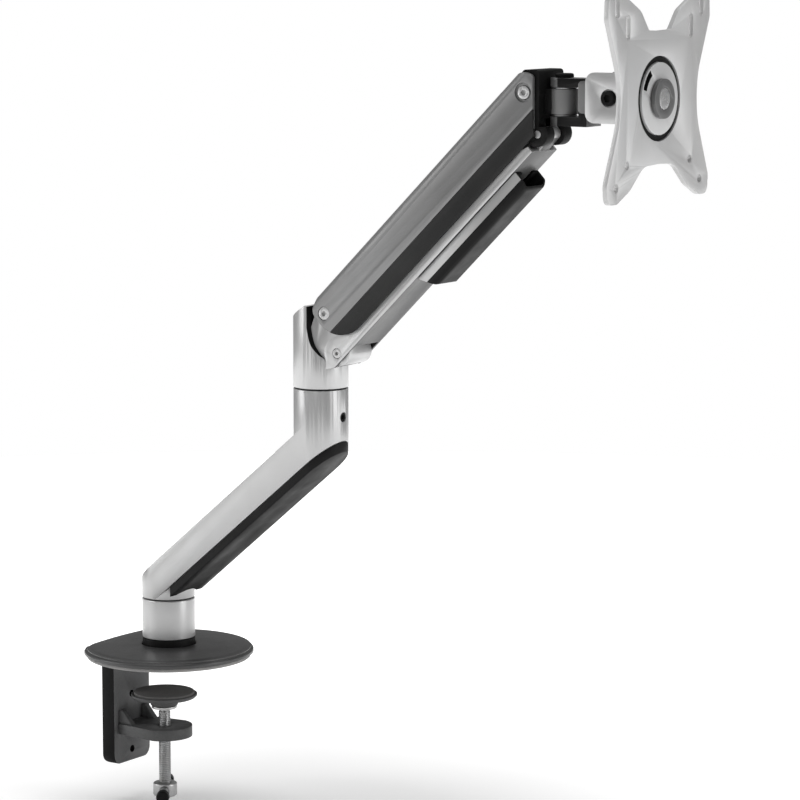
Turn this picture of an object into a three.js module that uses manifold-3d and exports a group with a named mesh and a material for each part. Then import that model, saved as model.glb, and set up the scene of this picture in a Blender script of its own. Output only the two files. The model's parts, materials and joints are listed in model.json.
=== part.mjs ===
import * as THREE from 'three';
import { mergeVertices, toCreasedNormals } from 'three/addons/utils/BufferGeometryUtils.js';
import Module from 'manifold-3d';

const wasm = await Module();
wasm.setup();

// Desk-clamped spring monitor arm, in millimetres. +Z is up and Z = 0 is the desk top.
// The origin is on the base swivel axis. +X runs over the desk towards the screen.

// ---- driving dimensions -------------------------------------------------
const GAP = 0.3;                 // clearance left wherever two pieces touch
const POST_R = 17.5;             // outside radius of both round posts
const ELBOW_X = 124;             // distance between the base and elbow swivel axes
const JOINT_Z = 40;              // joint line between the base post and the lower arm
const ELBOW_Z = 189;             // joint line between the lower arm and the elbow head
const LOWER_PITCH = 39.6;        // rise of the lower arm, degrees
const LOWER_TOP = 64.4;          // height of its top plane over the base axis
const LOWER_DEEP = 19.6;         // depth of the silver casting, square to the slope
const COVER_DEEP = 5.6;          // depth of the cable cover below it
const PITCH = 44.2;              // rise of the upper arm at rest, degrees
const LINK_LEN = 203.7;          // pivot to pivot, both links of the parallelogram
const PIVOT_A = [138.5, 238.6];  // upper arm to elbow head, X and Z
const OFFSET = [8, -25];         // from each upper pivot to the lower one
const HOUSE_TOP = 12;            // upper cover, above the pivot line
const HOUSE_LOW = -23;           // upper cover, below the pivot line
const SKIRT_TOP = -11.5;         // top edge of the dark skirts along the upper cover
const HOUSE_IN = 14.9;           // inside half width of the upper cover
const LINK_HALF = 14.6;          // outside half width of the lower link
const SWIVEL_X = 303;            // head swivel axis
const HEAD_Z = 378.5;            // height of the tilt axis and the plate centre
const TILT_X = 342;              // tilt axis
const PLATE_X = 368;             // monitor face of the plate
const PLATE_T = 3;               // plate thickness
const BASE_R = 56.2;             // base cover radius
const BASE_BACK = -43;           // flat back edge of the base
const CLAMP_X = -4.4;            // clamp screw axis
const CLAMP_ARM_Z = -51.5;       // mid height of the lower clamp jaw
const FACETS = 0.67;             // share of each round's nominal facet count that is drawn

const RAD = Math.PI / 180;
const facets = (n) => (n > 8 ? 2 * Math.round(n * FACETS / 2) : n);
const TAN = Math.tan(LOWER_PITCH * RAD);
const COS = Math.cos(LOWER_PITCH * RAD);
const PIVOT_B = [PIVOT_A[0] + OFFSET[0], PIVOT_A[1] + OFFSET[1]];
const HEAD_A = [
  PIVOT_A[0] + LINK_LEN * Math.cos(PITCH * RAD),
  PIVOT_A[1] + LINK_LEN * Math.sin(PITCH * RAD),
];
const HEAD_B = [HEAD_A[0] + OFFSET[0], HEAD_A[1] + OFFSET[1]];

// ---- solids --------------------------------------------------------------
// A closed three.js geometry becomes a solid that can be joined and cut.
function solid(geometry) {
  let g = geometry.clone();
  g.deleteAttribute('normal');
  g.deleteAttribute('uv');
  g = mergeVertices(g, 1e-4);
  return new wasm.Manifold(new wasm.Mesh({
    numProp: 3,
    vertProperties: new Float32Array(g.attributes.position.array),
    triVerts: new Uint32Array(g.index.array),
  }));
}

function toGeometry(body) {
  const mesh = body.getMesh();
  const g = new THREE.BufferGeometry();
  g.setAttribute('position', new THREE.BufferAttribute(new Float32Array(mesh.vertProperties), 3));
  g.setIndex(new THREE.BufferAttribute(new Uint32Array(mesh.triVerts), 1));
  return toCreasedNormals(g, 0.6);
}

function moved(geometry, x, y, z) {
  geometry.translate(x, y, z);
  return geometry;
}

function shapeOf(points) {
  return new THREE.Shape(points.map(([x, y]) => new THREE.Vector2(x, y)));
}

// Outline in X and Y, raised from z0 to z1.
function prismZ(points, z0, z1) {
  const g = new THREE.ExtrudeGeometry(shapeOf(points), { depth: z1 - z0, bevelEnabled: false });
  return solid(moved(g, 0, 0, z0));
}

// Outline in X and Z, stretched from y0 to y1.
function prismY(points, y0, y1) {
  const g = new THREE.ExtrudeGeometry(shapeOf(points), { depth: y1 - y0, bevelEnabled: false });
  g.rotateX(Math.PI / 2);
  return solid(moved(g, 0, y1, 0));
}

// Outline in Y and Z, stretched from x0 to x1.
function prismX(points, x0, x1) {
  const g = new THREE.ExtrudeGeometry(shapeOf(points), { depth: x1 - x0, bevelEnabled: false });
  g.rotateX(Math.PI / 2);
  g.rotateZ(Math.PI / 2);
  return solid(moved(g, x0, 0, 0));
}

function box(x0, x1, y0, y1, z0, z1) {
  const g = new THREE.BoxGeometry(x1 - x0, y1 - y0, z1 - z0);
  return solid(moved(g, (x0 + x1) / 2, (y0 + y1) / 2, (z0 + z1) / 2));
}

function rodZ(r, z0, z1, x = 0, y = 0, seg = 32) {
  const g = new THREE.CylinderGeometry(r, r, z1 - z0, facets(seg));
  g.rotateX(Math.PI / 2);
  return solid(moved(g, x, y, (z0 + z1) / 2));
}

function rodY(r, y0, y1, x = 0, z = 0, seg = 24) {
  const g = new THREE.CylinderGeometry(r, r, y1 - y0, facets(seg));
  return solid(moved(g, x, (y0 + y1) / 2, z));
}

function rodX(r, x0, x1, y = 0, z = 0, seg = 24) {
  const g = new THREE.CylinderGeometry(r, r, x1 - x0, facets(seg));
  g.rotateZ(Math.PI / 2);
  return solid(moved(g, (x0 + x1) / 2, y, z));
}

// A turned piece about +Z. Each point is a radius and a height.
function turned(points, seg = 24) {
  const list = points.map(([r, z]) => new THREE.Vector2(r, z));
  const g = new THREE.LatheGeometry(list, facets(seg));
  g.rotateX(Math.PI / 2);
  const body = solid(g);
  if (body.volume() > 0) {
    return body;
  }
  const flipped = points.slice().reverse().map(([r, z]) => new THREE.Vector2(r, z));
  const h = new THREE.LatheGeometry(flipped, facets(seg));
  h.rotateX(Math.PI / 2);
  return solid(h);
}

function turnedTube(inner, outer, z0, z1, seg = 32) {
  return turned([[inner, z0], [outer, z0], [outer, z1], [inner, z1], [inner, z0]], seg);
}

function arc(cx, cy, r, from, to, steps) {
  const out = [];
  for (let i = 0; i <= steps; i += 1) {
    const a = (from + (to - from) * i / steps) * RAD;
    out.push([cx + r * Math.cos(a), cy + r * Math.sin(a)]);
  }
  return out;
}

// Convex outline wrapped round a set of discs, each given as centre and radius.
function wrap(discs, steps = 24) {
  const pts = [];
  for (const [x, y, r] of discs) {
    pts.push(...arc(x, y, r, 0, 360 - 360 / steps, steps - 1));
  }
  pts.sort((p, q) => p[0] - q[0] || p[1] - q[1]);
  const cross = (o, p, q) => (p[0] - o[0]) * (q[1] - o[1]) - (p[1] - o[1]) * (q[0] - o[0]);
  const half = (list) => {
    const hull = [];
    for (const p of list) {
      while (hull.length > 1 && cross(hull[hull.length - 2], hull[hull.length - 1], p) <= 1e-6) {
        hull.pop();
      }
      hull.push(p);
    }
    hull.pop();
    return hull;
  };
  return half(pts).concat(half(pts.slice().reverse()));
}

// Rectangle with rounded corners: centre, half sizes, corner radius.
function roundRect(cx, cy, hx, hy, r, steps = 4) {
  return [
    ...arc(cx + hx - r, cy + hy - r, r, 0, 90, steps),
    ...arc(cx - hx + r, cy + hy - r, r, 90, 180, steps),
    ...arc(cx - hx + r, cy - hy + r, r, 180, 270, steps),
    ...arc(cx + hx - r, cy - hy + r, r, 270, 360, steps),
  ];
}

// ---- finishes ------------------------------------------------------------
const FINISH = {
  silver: [0xb4b6b8, 0.42, 0.75],
  silver_dark: [0x8d9092, 0.45, 0.7],
  grey_cover: [0x6f7173, 0.5, 0.35],
  black_plastic: [0x1f2021, 0.55, 0.0],
  black_paint: [0x2a2b2c, 0.5, 0.3],
  dark_grey: [0x55575a, 0.48, 0.45],
  pad_grey: [0x8a8b8a, 0.85, 0.0],
  zinc: [0xa3a5a6, 0.35, 0.9],
  rubber: [0x161616, 0.9, 0.0],
  polished: [0xe2e3e4, 0.18, 0.95],
  spring_steel: [0x3a3b3d, 0.4, 0.85],
};

function node(parent, name, body, finish) {
  const [color, roughness, metalness] = FINISH[finish];
  const material = new THREE.MeshStandardMaterial({ color, roughness, metalness });
  material.name = name;
  const mesh = new THREE.Mesh(toGeometry(body), material);
  mesh.name = name;
  parent.add(mesh);
  return mesh;
}

function group(parent, name, x = 0, y = 0, z = 0) {
  const g = new THREE.Group();
  g.name = name;
  g.position.set(x, y, z);
  parent.add(g);
  return g;
}

// ---- base ----------------------------------------------------------------
function baseOutline(r, back) {
  const a = Math.acos(back / r) / RAD;
  return arc(0, 0, r, -a, a, 32);
}

function buildBase(root) {
  const base = group(root, 'base_group');
  const cut = box(-60, -31.7, -19.4, 19.4, -1, 2.4);
  node(base, 'desk_pad', prismZ(baseOutline(BASE_R - 2, BASE_BACK + 0.4), 0, 2.2).subtract(cut), 'pad_grey');

  let plate = prismZ(baseOutline(BASE_R - 2.1, BASE_BACK + 0.3), 2.5, 6.3);
  for (const y of [-10, 10]) {
    plate = plate.subtract(rodZ(2.9, 2, 7, -37, y, 20));
    plate = plate.subtract(rodZ(5.6, 3.9, 7, -37, y, 24));
  }
  node(base, 'base_plate', plate, 'black_paint');

  const r = BASE_R;
  const dome = turned([
    [17.9, 6.6], [r - 1.7, 6.6], [r - 1.7, 2.6], [r, 2.6], [r, 4.6], [r - 1.6, 6.5], [r - 8, 7.7], [36, 8.3],
    [17.9, 8.6], [17.9, 6.6],
  ], 48);
  node(base, 'base_cover', dome.subtract(box(-60, BASE_BACK, -60, 60, 0, 12)), 'dark_grey');

  node(base, 'post_foot_ring', turned([
    [10.4, 6.6], [17.4, 6.6], [17.4, 12.6], [16.9, 13.1], [10.4, 13.1], [10.4, 6.6],
  ], 28), 'black_plastic');
  node(base, 'base_post', turned([
    [10.4, 13.4], [POST_R, 13.4], [POST_R, JOINT_Z - 1], [POST_R - 0.6, JOINT_Z - 0.4],
    [10.4, JOINT_Z - 0.4], [10.4, 13.4],
  ], 32), 'silver');
  node(base, 'base_shaft', turned([
    [0, 6.6], [10, 6.6], [10, 47.4], [9, 48.4], [0, 48.4],
  ], 24), 'zinc');
}

// ---- clamp ---------------------------------------------------------------
function countersunk(x, y, top, low) {
  const body = turned([
    [0, low], [2.3, low], [2.6, low + 0.6], [2.6, top - 2.2], [5.2, top - 0.3], [5.2, top], [0, top],
  ], 14);
  const socket = rodZ(1.8, top - 1.6, top + 1, 0, 0, 6);
  return solid(moved(toGeometry(body.subtract(socket)), x, y, 0));
}

function buildClamp(root) {
  const clamp = group(root, 'clamp_group');
  const lowZ = -76;
  const side = [
    [-42, 2.2], [-42, lowZ + 4], [-40, lowZ], [-34, lowZ], [-32, lowZ + 2], [-32, 2.2],
  ];
  const front = [
    [-19, 2.2], [-19, lowZ + 8], [-13, lowZ], [13, lowZ], [19, lowZ + 8], [19, 2.2],
  ];
  let bracket = prismY(side, -19, 19).intersect(prismX(front, -43, -31));
  for (const y of [-10, 10]) {
    bracket = bracket.subtract(rodZ(2.9, -16, 3, -37, y, 20));
    bracket = bracket.subtract(rodX(2.9, -43, -31, y, CLAMP_ARM_Z, 20));
    bracket = bracket.subtract(rodX(5, -43, -38, y, CLAMP_ARM_Z, 24));
  }
  for (const z of [-30, -68]) {
    bracket = bracket.subtract(rodX(2.4, -43, -31, 0, z, 20));
  }
  node(clamp, 'clamp_bracket', bracket, 'black_paint');
  node(clamp, 'bracket_screw_left', countersunk(-37, 10, 6.1, -13), 'zinc');
  node(clamp, 'bracket_screw_right', countersunk(-37, -10, 6.1, -13), 'zinc');

  const half = 3.5;
  const jawPlan = [
    [-31.7, -15], ...arc(CLAMP_X, 0, 18.5, -78, 78, 18), [-31.7, 15],
  ];
  let jaw = prismZ(jawPlan, CLAMP_ARM_Z - half, CLAMP_ARM_Z + half);
  const gusset = [
    [-31.7, CLAMP_ARM_Z + half - 0.5], [-31.7, CLAMP_ARM_Z + half + 9], [-29, CLAMP_ARM_Z + half + 9],
    [-21, CLAMP_ARM_Z + half - 0.5],
  ];
  for (const y of [-12, 12]) {
    jaw = jaw.add(prismY(gusset, y - 2, y + 2));
  }
  jaw = jaw.subtract(rodZ(4.5, CLAMP_ARM_Z - 9, CLAMP_ARM_Z + 9, CLAMP_X, 0, 24));
  for (const y of [-10, 10]) {
    jaw = jaw.subtract(rodX(2.9, -33, -19, y, CLAMP_ARM_Z, 20));
  }
  node(clamp, 'clamp_jaw', jaw, 'black_paint');

  for (const [name, y] of [['jaw_screw_left', 10], ['jaw_screw_right', -10]]) {
    const head = turned([[0, 0], [4.6, 0], [4.6, 3.2], [4.1, 3.6], [0, 3.6]], 16);
    const shank = turned([[0, -18], [2.1, -18], [2.6, -17.4], [2.6, 0.2], [0, 0.2]], 16);
    const socket = rodZ(2, 1.6, 5, 0, 0, 6);
    const g = toGeometry(head.add(shank).subtract(socket));
    g.rotateY(-Math.PI / 2);
    node(clamp, name, solid(moved(g, -38.3, y, CLAMP_ARM_Z)), 'zinc');
  }
}

// Screw thread drawn as closed ridges, coarser than the real one.
function threadedRod(r, z0, z1, pitch, seg) {
  const pts = [[0, z0], [r - 1, z0]];
  const turns = Math.floor((z1 - z0 - 2) / pitch);
  for (let i = 0; i < turns; i += 1) {
    const z = z0 + 1 + i * pitch;
    pts.push([r - 0.62, z]);
    pts.push([r, z + pitch * 0.5]);
  }
  pts.push([r - 0.62, z0 + 1 + turns * pitch]);
  pts.push([r - 1, z1]);
  pts.push([0, z1]);
  return turned(pts, seg);
}

function buildClampScrew(root) {
  const slider = group(root, 'clamp_slider_group', CLAMP_X, 0, 0);
  const plate = turned([
    [0, -29.9], [5.2, -29.9], [5.2, -34.2], [9, -34.2], [9.6, -31.2], [20.5, -29], [22, -27.6], [22, -26.4],
    [20.6, -26.4], [20.6, -27.4], [0, -27.4],
  ], 32);
  node(slider, 'press_plate', plate, 'black_paint');
  node(slider, 'press_pad', turned([[0, -27.1], [20.2, -27.1], [20.2, -25.3], [19.7, -24.8], [0, -24.8]], 28), 'rubber');
  node(slider, 'press_retainer', turnedTube(3.9, 8.4, -36.2, -34.5, 28), 'zinc');

  const screw = group(root, 'clamp_screw_group', CLAMP_X, 0, 0);
  let rod = threadedRod(4, -98, -37.2, 4.5, 15);
  rod = rod.add(turned([[0, -38], [2.9, -38], [2.9, -34.4], [4.6, -33.8], [4.6, -31.4], [3.2, -30.3], [0, -30.3]], 20));
  rod = rod.subtract(rodY(3.2, -6, 6, 0, -91.5, 20));
  const hub = turned([
    [4.3, -96], [7, -96], [8, -95], [8, -88], [7, -87], [4.3, -87], [4.3, -96],
  ], 20).subtract(rodY(3.2, -10, 10, 0, -91.5, 16));
  const turn = new THREE.Group();
  turn.name = 'handle_group';
  turn.rotation.z = 33.7 * RAD;
  screw.add(turn);
  node(turn, 'clamp_screw', rod, 'zinc');
  node(turn, 'handle_hub', hub, 'zinc');
  node(turn, 'handle_bar', rodY(2.9, -24, 24, 0, -91.5, 16), 'zinc');
  for (const [name, dir] of [['bar_cap_near', -1], ['bar_cap_far', 1]]) {
    const cap = turned([
      [0, 24.3], [3.2, 24.3], [3.2, 19.5], [4.3, 19.5], [4.3, 25.6], [3.4, 26.6], [0, 26.6],
    ], 20);
    const g = toGeometry(cap);
    g.rotateX(dir > 0 ? -Math.PI / 2 : Math.PI / 2);
    node(turn, name, solid(moved(g, 0, 0, -91.5)), 'black_plastic');
  }
}

// ---- lower arm -----------------------------------------------------------
// Plan outline of the lower arm: two post circles joined by flat sides.
function stadium(r, x0, x1, steps = 20) {
  return [...arc(x1, 0, r, -90, 90, steps), ...arc(x0, 0, r, 90, 270, steps)];
}

function disc(r, x, steps) {
  return arc(x, 0, r, -90, 270 - 180 / steps, steps * 2 - 1);
}

function buildLowerArm(root) {
  const arm = group(root, 'lower_arm_group');
  const topAt = (x) => LOWER_TOP + TAN * x;
  const underAt = (x) => LOWER_TOP - LOWER_DEEP / COS + TAN * x;
  const coverAt = (x) => underAt(x) - COVER_DEEP / COS;
  const low = JOINT_Z + 0.6;
  const top = ELBOW_Z - 0.4;
  const edge = ELBOW_X - POST_R;
  const beam = [
    [-POST_R - 1, underAt(-POST_R - 1)], [edge + 40, underAt(edge + 40)],
    [edge + 40, topAt(edge + 40)], [edge, topAt(edge)], [-POST_R + 2, topAt(-POST_R + 2)],
    [-POST_R - 1, topAt(-POST_R + 2) - 5],
  ];
  const below = [
    [-30, 0], [60, 0], [60, topAt(60)], [-POST_R + 2, topAt(-POST_R + 2)], [-POST_R - 1, topAt(-POST_R + 2) - 5],
    [-30, 30],
  ];
  const above = [
    [90, underAt(90)], [160, underAt(160)], [160, 260], [90, 260],
  ];
  const whole = prismZ(stadium(POST_R, 0, ELBOW_X, 16), low, 260);
  let body = prismY(beam, -POST_R - 1, POST_R + 1).intersect(whole);
  body = body.add(prismZ(disc(POST_R, 0, 16), low, 110).intersect(prismY(below, -20, 20)));
  body = body.add(prismZ(disc(POST_R, ELBOW_X, 16), 90, top).intersect(prismY(above, -20, 20)));
  const wall = 2.6;
  const pocket = [
    [POST_R + 5, underAt(POST_R + 5) - 3], [ELBOW_X - 13, underAt(ELBOW_X - 13) - 3],
    [ELBOW_X - 13, topAt(ELBOW_X - 13) - wall / COS], [POST_R + 5, topAt(POST_R + 5) - wall / COS],
  ];
  body = body.subtract(prismY(pocket, -POST_R + wall, POST_R - wall));
  body = body.subtract(rodZ(12.4, low - 1, 50, 0, 0, 24));
  body = body.subtract(rodZ(8.3, 152, ELBOW_Z + 2, ELBOW_X, 0, 24));
  const setZ = 171;
  body = body.subtract(rodX(3.3, ELBOW_X + 13, ELBOW_X + 20, 0, setZ, 20));
  node(arm, 'lower_arm', body, 'silver');

  const slab = [
    [POST_R - 3, underAt(POST_R - 3) - GAP / COS], [POST_R - 3, coverAt(POST_R - 3)],
    [ELBOW_X + POST_R + 1, coverAt(ELBOW_X + POST_R + 1)],
    [ELBOW_X + POST_R + 1, underAt(ELBOW_X + POST_R + 1) - GAP / COS],
  ];
  const hollow = [
    [POST_R + 4, underAt(POST_R + 4) + 2], [POST_R + 4, coverAt(POST_R + 4) + 2 / COS],
    [ELBOW_X - 12, coverAt(ELBOW_X - 12) + 2 / COS], [ELBOW_X - 12, underAt(ELBOW_X - 12) + 2],
  ];
  let cover = prismY(slab, -POST_R, POST_R).intersect(prismZ(stadium(POST_R - 0.2, 0, ELBOW_X, 16), 0, 260));
  cover = cover.subtract(rodZ(POST_R + 0.4, 20, 80, 0, 0, 32));
  cover = cover.subtract(prismY(hollow, -POST_R + 2.4, POST_R - 2.4));
  node(arm, 'lower_cable_cover', cover, 'black_plastic');

  node(arm, 'base_bush', turnedTube(10.2, 12.1, JOINT_Z + 1, 48, 24), 'black_plastic');
  node(arm, 'base_washer', turnedTube(10.4, 16.7, JOINT_Z - 0.1, JOINT_Z + 0.3, 24), 'black_plastic');
  const shaft = group(arm, 'elbow_shaft_group', ELBOW_X, 0, 0);
  node(shaft, 'elbow_shaft', turned([
    [0, 153], [8, 153], [8, 220], [7, 221], [0, 221],
  ], 24), 'zinc');
  const set = group(arm, 'set_screw_group', ELBOW_X + POST_R, 0, setZ);
  const socket = rodX(1.6, -2.2, 1, 0, 0, 6);
  node(set, 'elbow_set_screw', rodX(3, -3.9, -0.6, 0, 0, 20).subtract(socket), 'black_paint');
}

// ---- elbow head ----------------------------------------------------------
function buildElbow(root) {
  const elbow = group(root, 'elbow_group');
  const low = ELBOW_Z + 0.8;
  const slope = (x) => 195.4 + 0.8 * (x - ELBOW_X);
  const topAt = (x) => 232.2 + 0.611 * (x - (ELBOW_X - POST_R));
  const edge = [
    [141.2, 208.6], [136, 210.2], [130.5, 214.4], [127.4, 219.8], [125.6, 226], [125.2, 230], [125.2, topAt(125.2)],
  ];
  const profile = [
    [ELBOW_X - POST_R - 1, low], [ELBOW_X + POST_R + 1, low], [ELBOW_X + POST_R + 1, slope(ELBOW_X + POST_R + 1)],
    ...edge, [ELBOW_X - POST_R + 0.8, topAt(ELBOW_X - POST_R + 0.8)], [ELBOW_X - POST_R - 1, topAt(ELBOW_X - POST_R) - 2.5],
  ];
  const plan = stadium(POST_R, ELBOW_X, ELBOW_X + 0.01, 16);
  let body = prismY(profile, -POST_R - 1, POST_R + 1).intersect(prismZ(plan, 100, 300));
  for (const side of [-1, 1]) {
    const y0 = side > 0 ? 12.4 : -19;
    body = body.subtract(rodY(11.9, y0, y0 + 6.6, PIVOT_B[0], PIVOT_B[1], 28));
  }
  const tongue = wrap([
    [PIVOT_A[0], PIVOT_A[1], 9], [PIVOT_B[0], PIVOT_B[1], 8.2], [124, 214, 4], [134, 205, 3],
  ], 24);
  body = body.add(prismY(tongue, -12.3, 12.3));
  body = body.subtract(rodY(4.05, -13, 13, PIVOT_A[0], PIVOT_A[1], 24));
  body = body.subtract(rodY(3.05, -13, 13, PIVOT_B[0], PIVOT_B[1], 24));
  body = body.subtract(rodZ(9.7, low - 1, 224, ELBOW_X, 0, 24));
  node(elbow, 'elbow_head', body, 'silver');
  const bush = group(elbow, 'elbow_bush_group', ELBOW_X, 0, 0);
  node(bush, 'elbow_bush', turnedTube(8.2, 9.4, ELBOW_Z + 1.2, 216, 24), 'black_plastic');
  node(bush, 'elbow_washer', turnedTube(8.4, 16.7, ELBOW_Z - 0.1, ELBOW_Z + 0.5, 24), 'black_plastic');

  for (const [name, at, r, halfY] of [['elbow_pin_upper', PIVOT_A, 4, 17.2], ['elbow_pin_lower', PIVOT_B, 3, 14.5]]) {
    const g = group(elbow, `${name}_group`, at[0], 0, at[1]);
    let pin = rodY(r, -halfY, halfY, 0, 0, 24);
    pin = pin.subtract(rodY(r * 0.42, -halfY - 1, -halfY + 1.4, 0, 0, 6));
    pin = pin.subtract(rodY(r * 0.42, halfY - 1.4, halfY + 1, 0, 0, 6));
    node(g, name, pin, 'silver');
  }
}

// ---- upper arm, in its own frame: x along the arm, z square to it --------
// Point given in X and Z from a pivot, turned into the arm's own frame.
function local(dx, dz) {
  const c = Math.cos(PITCH * RAD);
  const s = Math.sin(PITCH * RAD);
  return [dx * c + dz * s, -dx * s + dz * c];
}

function buildUpperArm(root) {
  const arm = group(root, 'upper_arm_group', PIVOT_A[0], 0, PIVOT_A[1]);
  arm.rotation.y = -PITCH * RAD;
  const endX = 6.6;
  const chop = (v) => LINK_LEN + (endX + v * Math.sin(PITCH * RAD)) / Math.cos(PITCH * RAD);
  const outline = [
    ...arc(0.5, 2.4, 7.2, 180, 107, 4), [3, HOUSE_TOP], ...arc(LINK_LEN, 0, 12, 90, 20, 5), [chop(2), 2],
    [chop(HOUSE_LOW), HOUSE_LOW], ...arc(13.3, HOUSE_LOW + 20, 20, 270, 180, 6),
  ];
  const low = HOUSE_LOW - 0.5;
  const sectionOf = (out) => [
    [-14, HOUSE_TOP], [14, HOUSE_TOP], [16.6, 10.4], [17.5, 6], [17.5, -9], [out, low],
    [-out, low], [-17.5, -9], [-17.5, 6], [-16.6, 10.4],
  ];
  const solidArm = prismY(outline, -18, 18).intersect(prismX(sectionOf(16.4), -40, LINK_LEN + 40));
  let room = prismX([
    [-12.5, 9.8], [12.5, 9.8], [HOUSE_IN, 7], [HOUSE_IN, -40], [-HOUSE_IN, -40], [-HOUSE_IN, 7],
  ], -60, LINK_LEN + 60);
  room = room.add(box(-30, -3.5, -HOUSE_IN, HOUSE_IN, -40, 30));
  room = room.add(box(LINK_LEN - 13, LINK_LEN + 40, -HOUSE_IN, HOUSE_IN, -60, 30));
  const walls = solidArm.subtract(room);

  // The skirts clip over a thin lip left on each side wall.
  const lipOut = HOUSE_IN + 0.6;
  const lipLow = HOUSE_LOW + 3;
  const below = box(-60, LINK_LEN + 60, -20, 20, HOUSE_LOW - 2, SKIRT_TOP);
  const lip = box(-60, LINK_LEN + 60, -lipOut, lipOut, lipLow, SKIRT_TOP + 0.01);
  let shell = walls.subtract(below.subtract(lip));
  shell = shell.subtract(rodY(4.3, -20, 20, 0, 0, 24));
  shell = shell.subtract(rodY(4.3, -20, 20, LINK_LEN, 0, 24));
  for (const y0 of [-18, 16.2]) {
    shell = shell.subtract(rodY(5.9, y0, y0 + 1.8, LINK_LEN, 0, 28));
  }
  shell = shell.subtract(rodZ(3, 5, 20, 176, 0, 20));
  node(arm, 'upper_housing', shell, 'grey_cover');

  const lipSpace = box(-60, LINK_LEN + 60, -lipOut - GAP, lipOut + GAP, lipLow - GAP, SKIRT_TOP + 5);
  const skirts = walls.intersect(box(-60, LINK_LEN + 60, -20, 20, HOUSE_LOW - 2, SKIRT_TOP - GAP)).subtract(lipSpace);
  node(arm, 'skirt_near', skirts.intersect(box(-60, 300, -20, 0, -40, 20)), 'black_plastic');
  node(arm, 'skirt_far', skirts.intersect(box(-60, 300, 0, 20, -40, 20)), 'black_plastic');

  const endPlate = box(168, 172, -13.4, 13.4, -12.5, 8.2).subtract(rodX(4.4, 160, 180, 0, -2, 20));
  node(arm, 'spring_anchor', endPlate, 'black_paint');
  const rod = rodX(3, 40, 186, 0, -2, 16).add(rodX(5, 183, 187, 0, -2, 6));
  node(arm, 'spring_rod', rod, 'zinc');
  node(arm, 'spring_seat', rodX(9.6, 44, 47, 0, -2, 28).subtract(rodX(3.3, 40, 50, 0, -2, 20)), 'black_paint');
  node(arm, 'lift_spring', springBody(), 'spring_steel');
}

// Coil spring with a square wire, closed at both ends.
function springBody() {
  class Helix extends THREE.Curve {
    getPoint(t) {
      const a = t * Math.PI * 2 * 8;
      return new THREE.Vector3(48.6 + 117.8 * t, 7.6 * Math.cos(a), -2 + 7.6 * Math.sin(a));
    }
  }
  const s = 1.1;
  const wire = new THREE.Shape();
  wire.moveTo(-s, -s);
  wire.lineTo(s, -s);
  wire.lineTo(s, s);
  wire.lineTo(-s, s);
  const g = new THREE.ExtrudeGeometry(wire, { steps: 8 * 8, extrudePath: new Helix(), bevelEnabled: false });
  return solid(g);
}

function buildLink(root) {
  const link = group(root, 'lower_link_group', PIVOT_B[0], 0, PIVOT_B[1]);
  link.rotation.y = -PITCH * RAD;
  const under = -5.2;
  const profile = [
    ...arc(0, 0, 9.6, 213, 70, 16), [26, 4], [180, 4], [194, -1], [194, under], [10, under],
  ];
  let body = prismY(profile, -LINK_HALF, LINK_HALF);
  body = body.subtract(box(-20, 220, -LINK_HALF + 2, LINK_HALF - 2, under + 2.2, 20));
  body = body.subtract(box(-20, 13, -LINK_HALF + 2, LINK_HALF - 2, -20, 20));
  const nose = prismY([
    [180, under], [LINK_LEN, -4.6], ...arc(LINK_LEN, 0, 4.6, -80, 90, 10), [LINK_LEN - 8, 4.2], [180, 3.4],
  ], -5.5, 5.5);
  body = body.add(nose);
  body = body.subtract(rodY(3.3, -20, -10.5, 0, 0, 24)).subtract(rodY(3.3, 10.5, 20, 0, 0, 24));
  body = body.subtract(rodY(2.6, -20, 20, LINK_LEN, 0, 20));
  body = body.subtract(rodZ(1.9, -9, 2, 128, 0, 16));
  node(link, 'lower_link', body, 'silver_dark');

  const x0 = 78;
  const x1 = 176;
  const sideOf = (deep, a, b) => [
    [a, under - GAP], [a + deep * 0.6, under - deep], [b - 3, under - deep], [b, under - deep + 4], [b, under - GAP],
  ];
  let clip = prismY(sideOf(12.2, x0, x1), -13, 13);
  const rounded = [
    [-13, under], [-13, under - 7], [-11.5, under - 10.6], [-8, under - 12.2], [8, under - 12.2], [11.5, under - 10.6],
    [13, under - 7], [13, under],
  ];
  clip = clip.intersect(prismX(rounded, x0 - 5, x1 + 5));
  clip = clip.subtract(prismX([
    [-11.4, under - 1.9], [-11.4, under - 6.5], [-10, under - 9.2], [-7.6, under - 10.6], [7.6, under - 10.6],
    [10, under - 9.2], [11.4, under - 6.5], [11.4, under - 1.9],
  ], x0 - 5, x1 + 5));
  clip = clip.subtract(box(x0 - 5, 121, -6.4, 6.4, under - 3, under + 1));
  clip = clip.subtract(box(135, x1 + 5, -6.4, 6.4, under - 3, under + 1));
  clip = clip.subtract(rodZ(2.1, under - 4, under + 1, 128, 0, 16));
  node(link, 'cable_clip', clip, 'black_plastic');
  const screw = turned([[0, -3.9], [3.6, -3.9], [3.6, -2.3], [1.7, -2.1], [1.7, 3.6], [0, 3.6]], 20);
  node(link, 'clip_screw', solid(moved(toGeometry(screw), 128, 0, under)), 'zinc');
}

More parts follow.
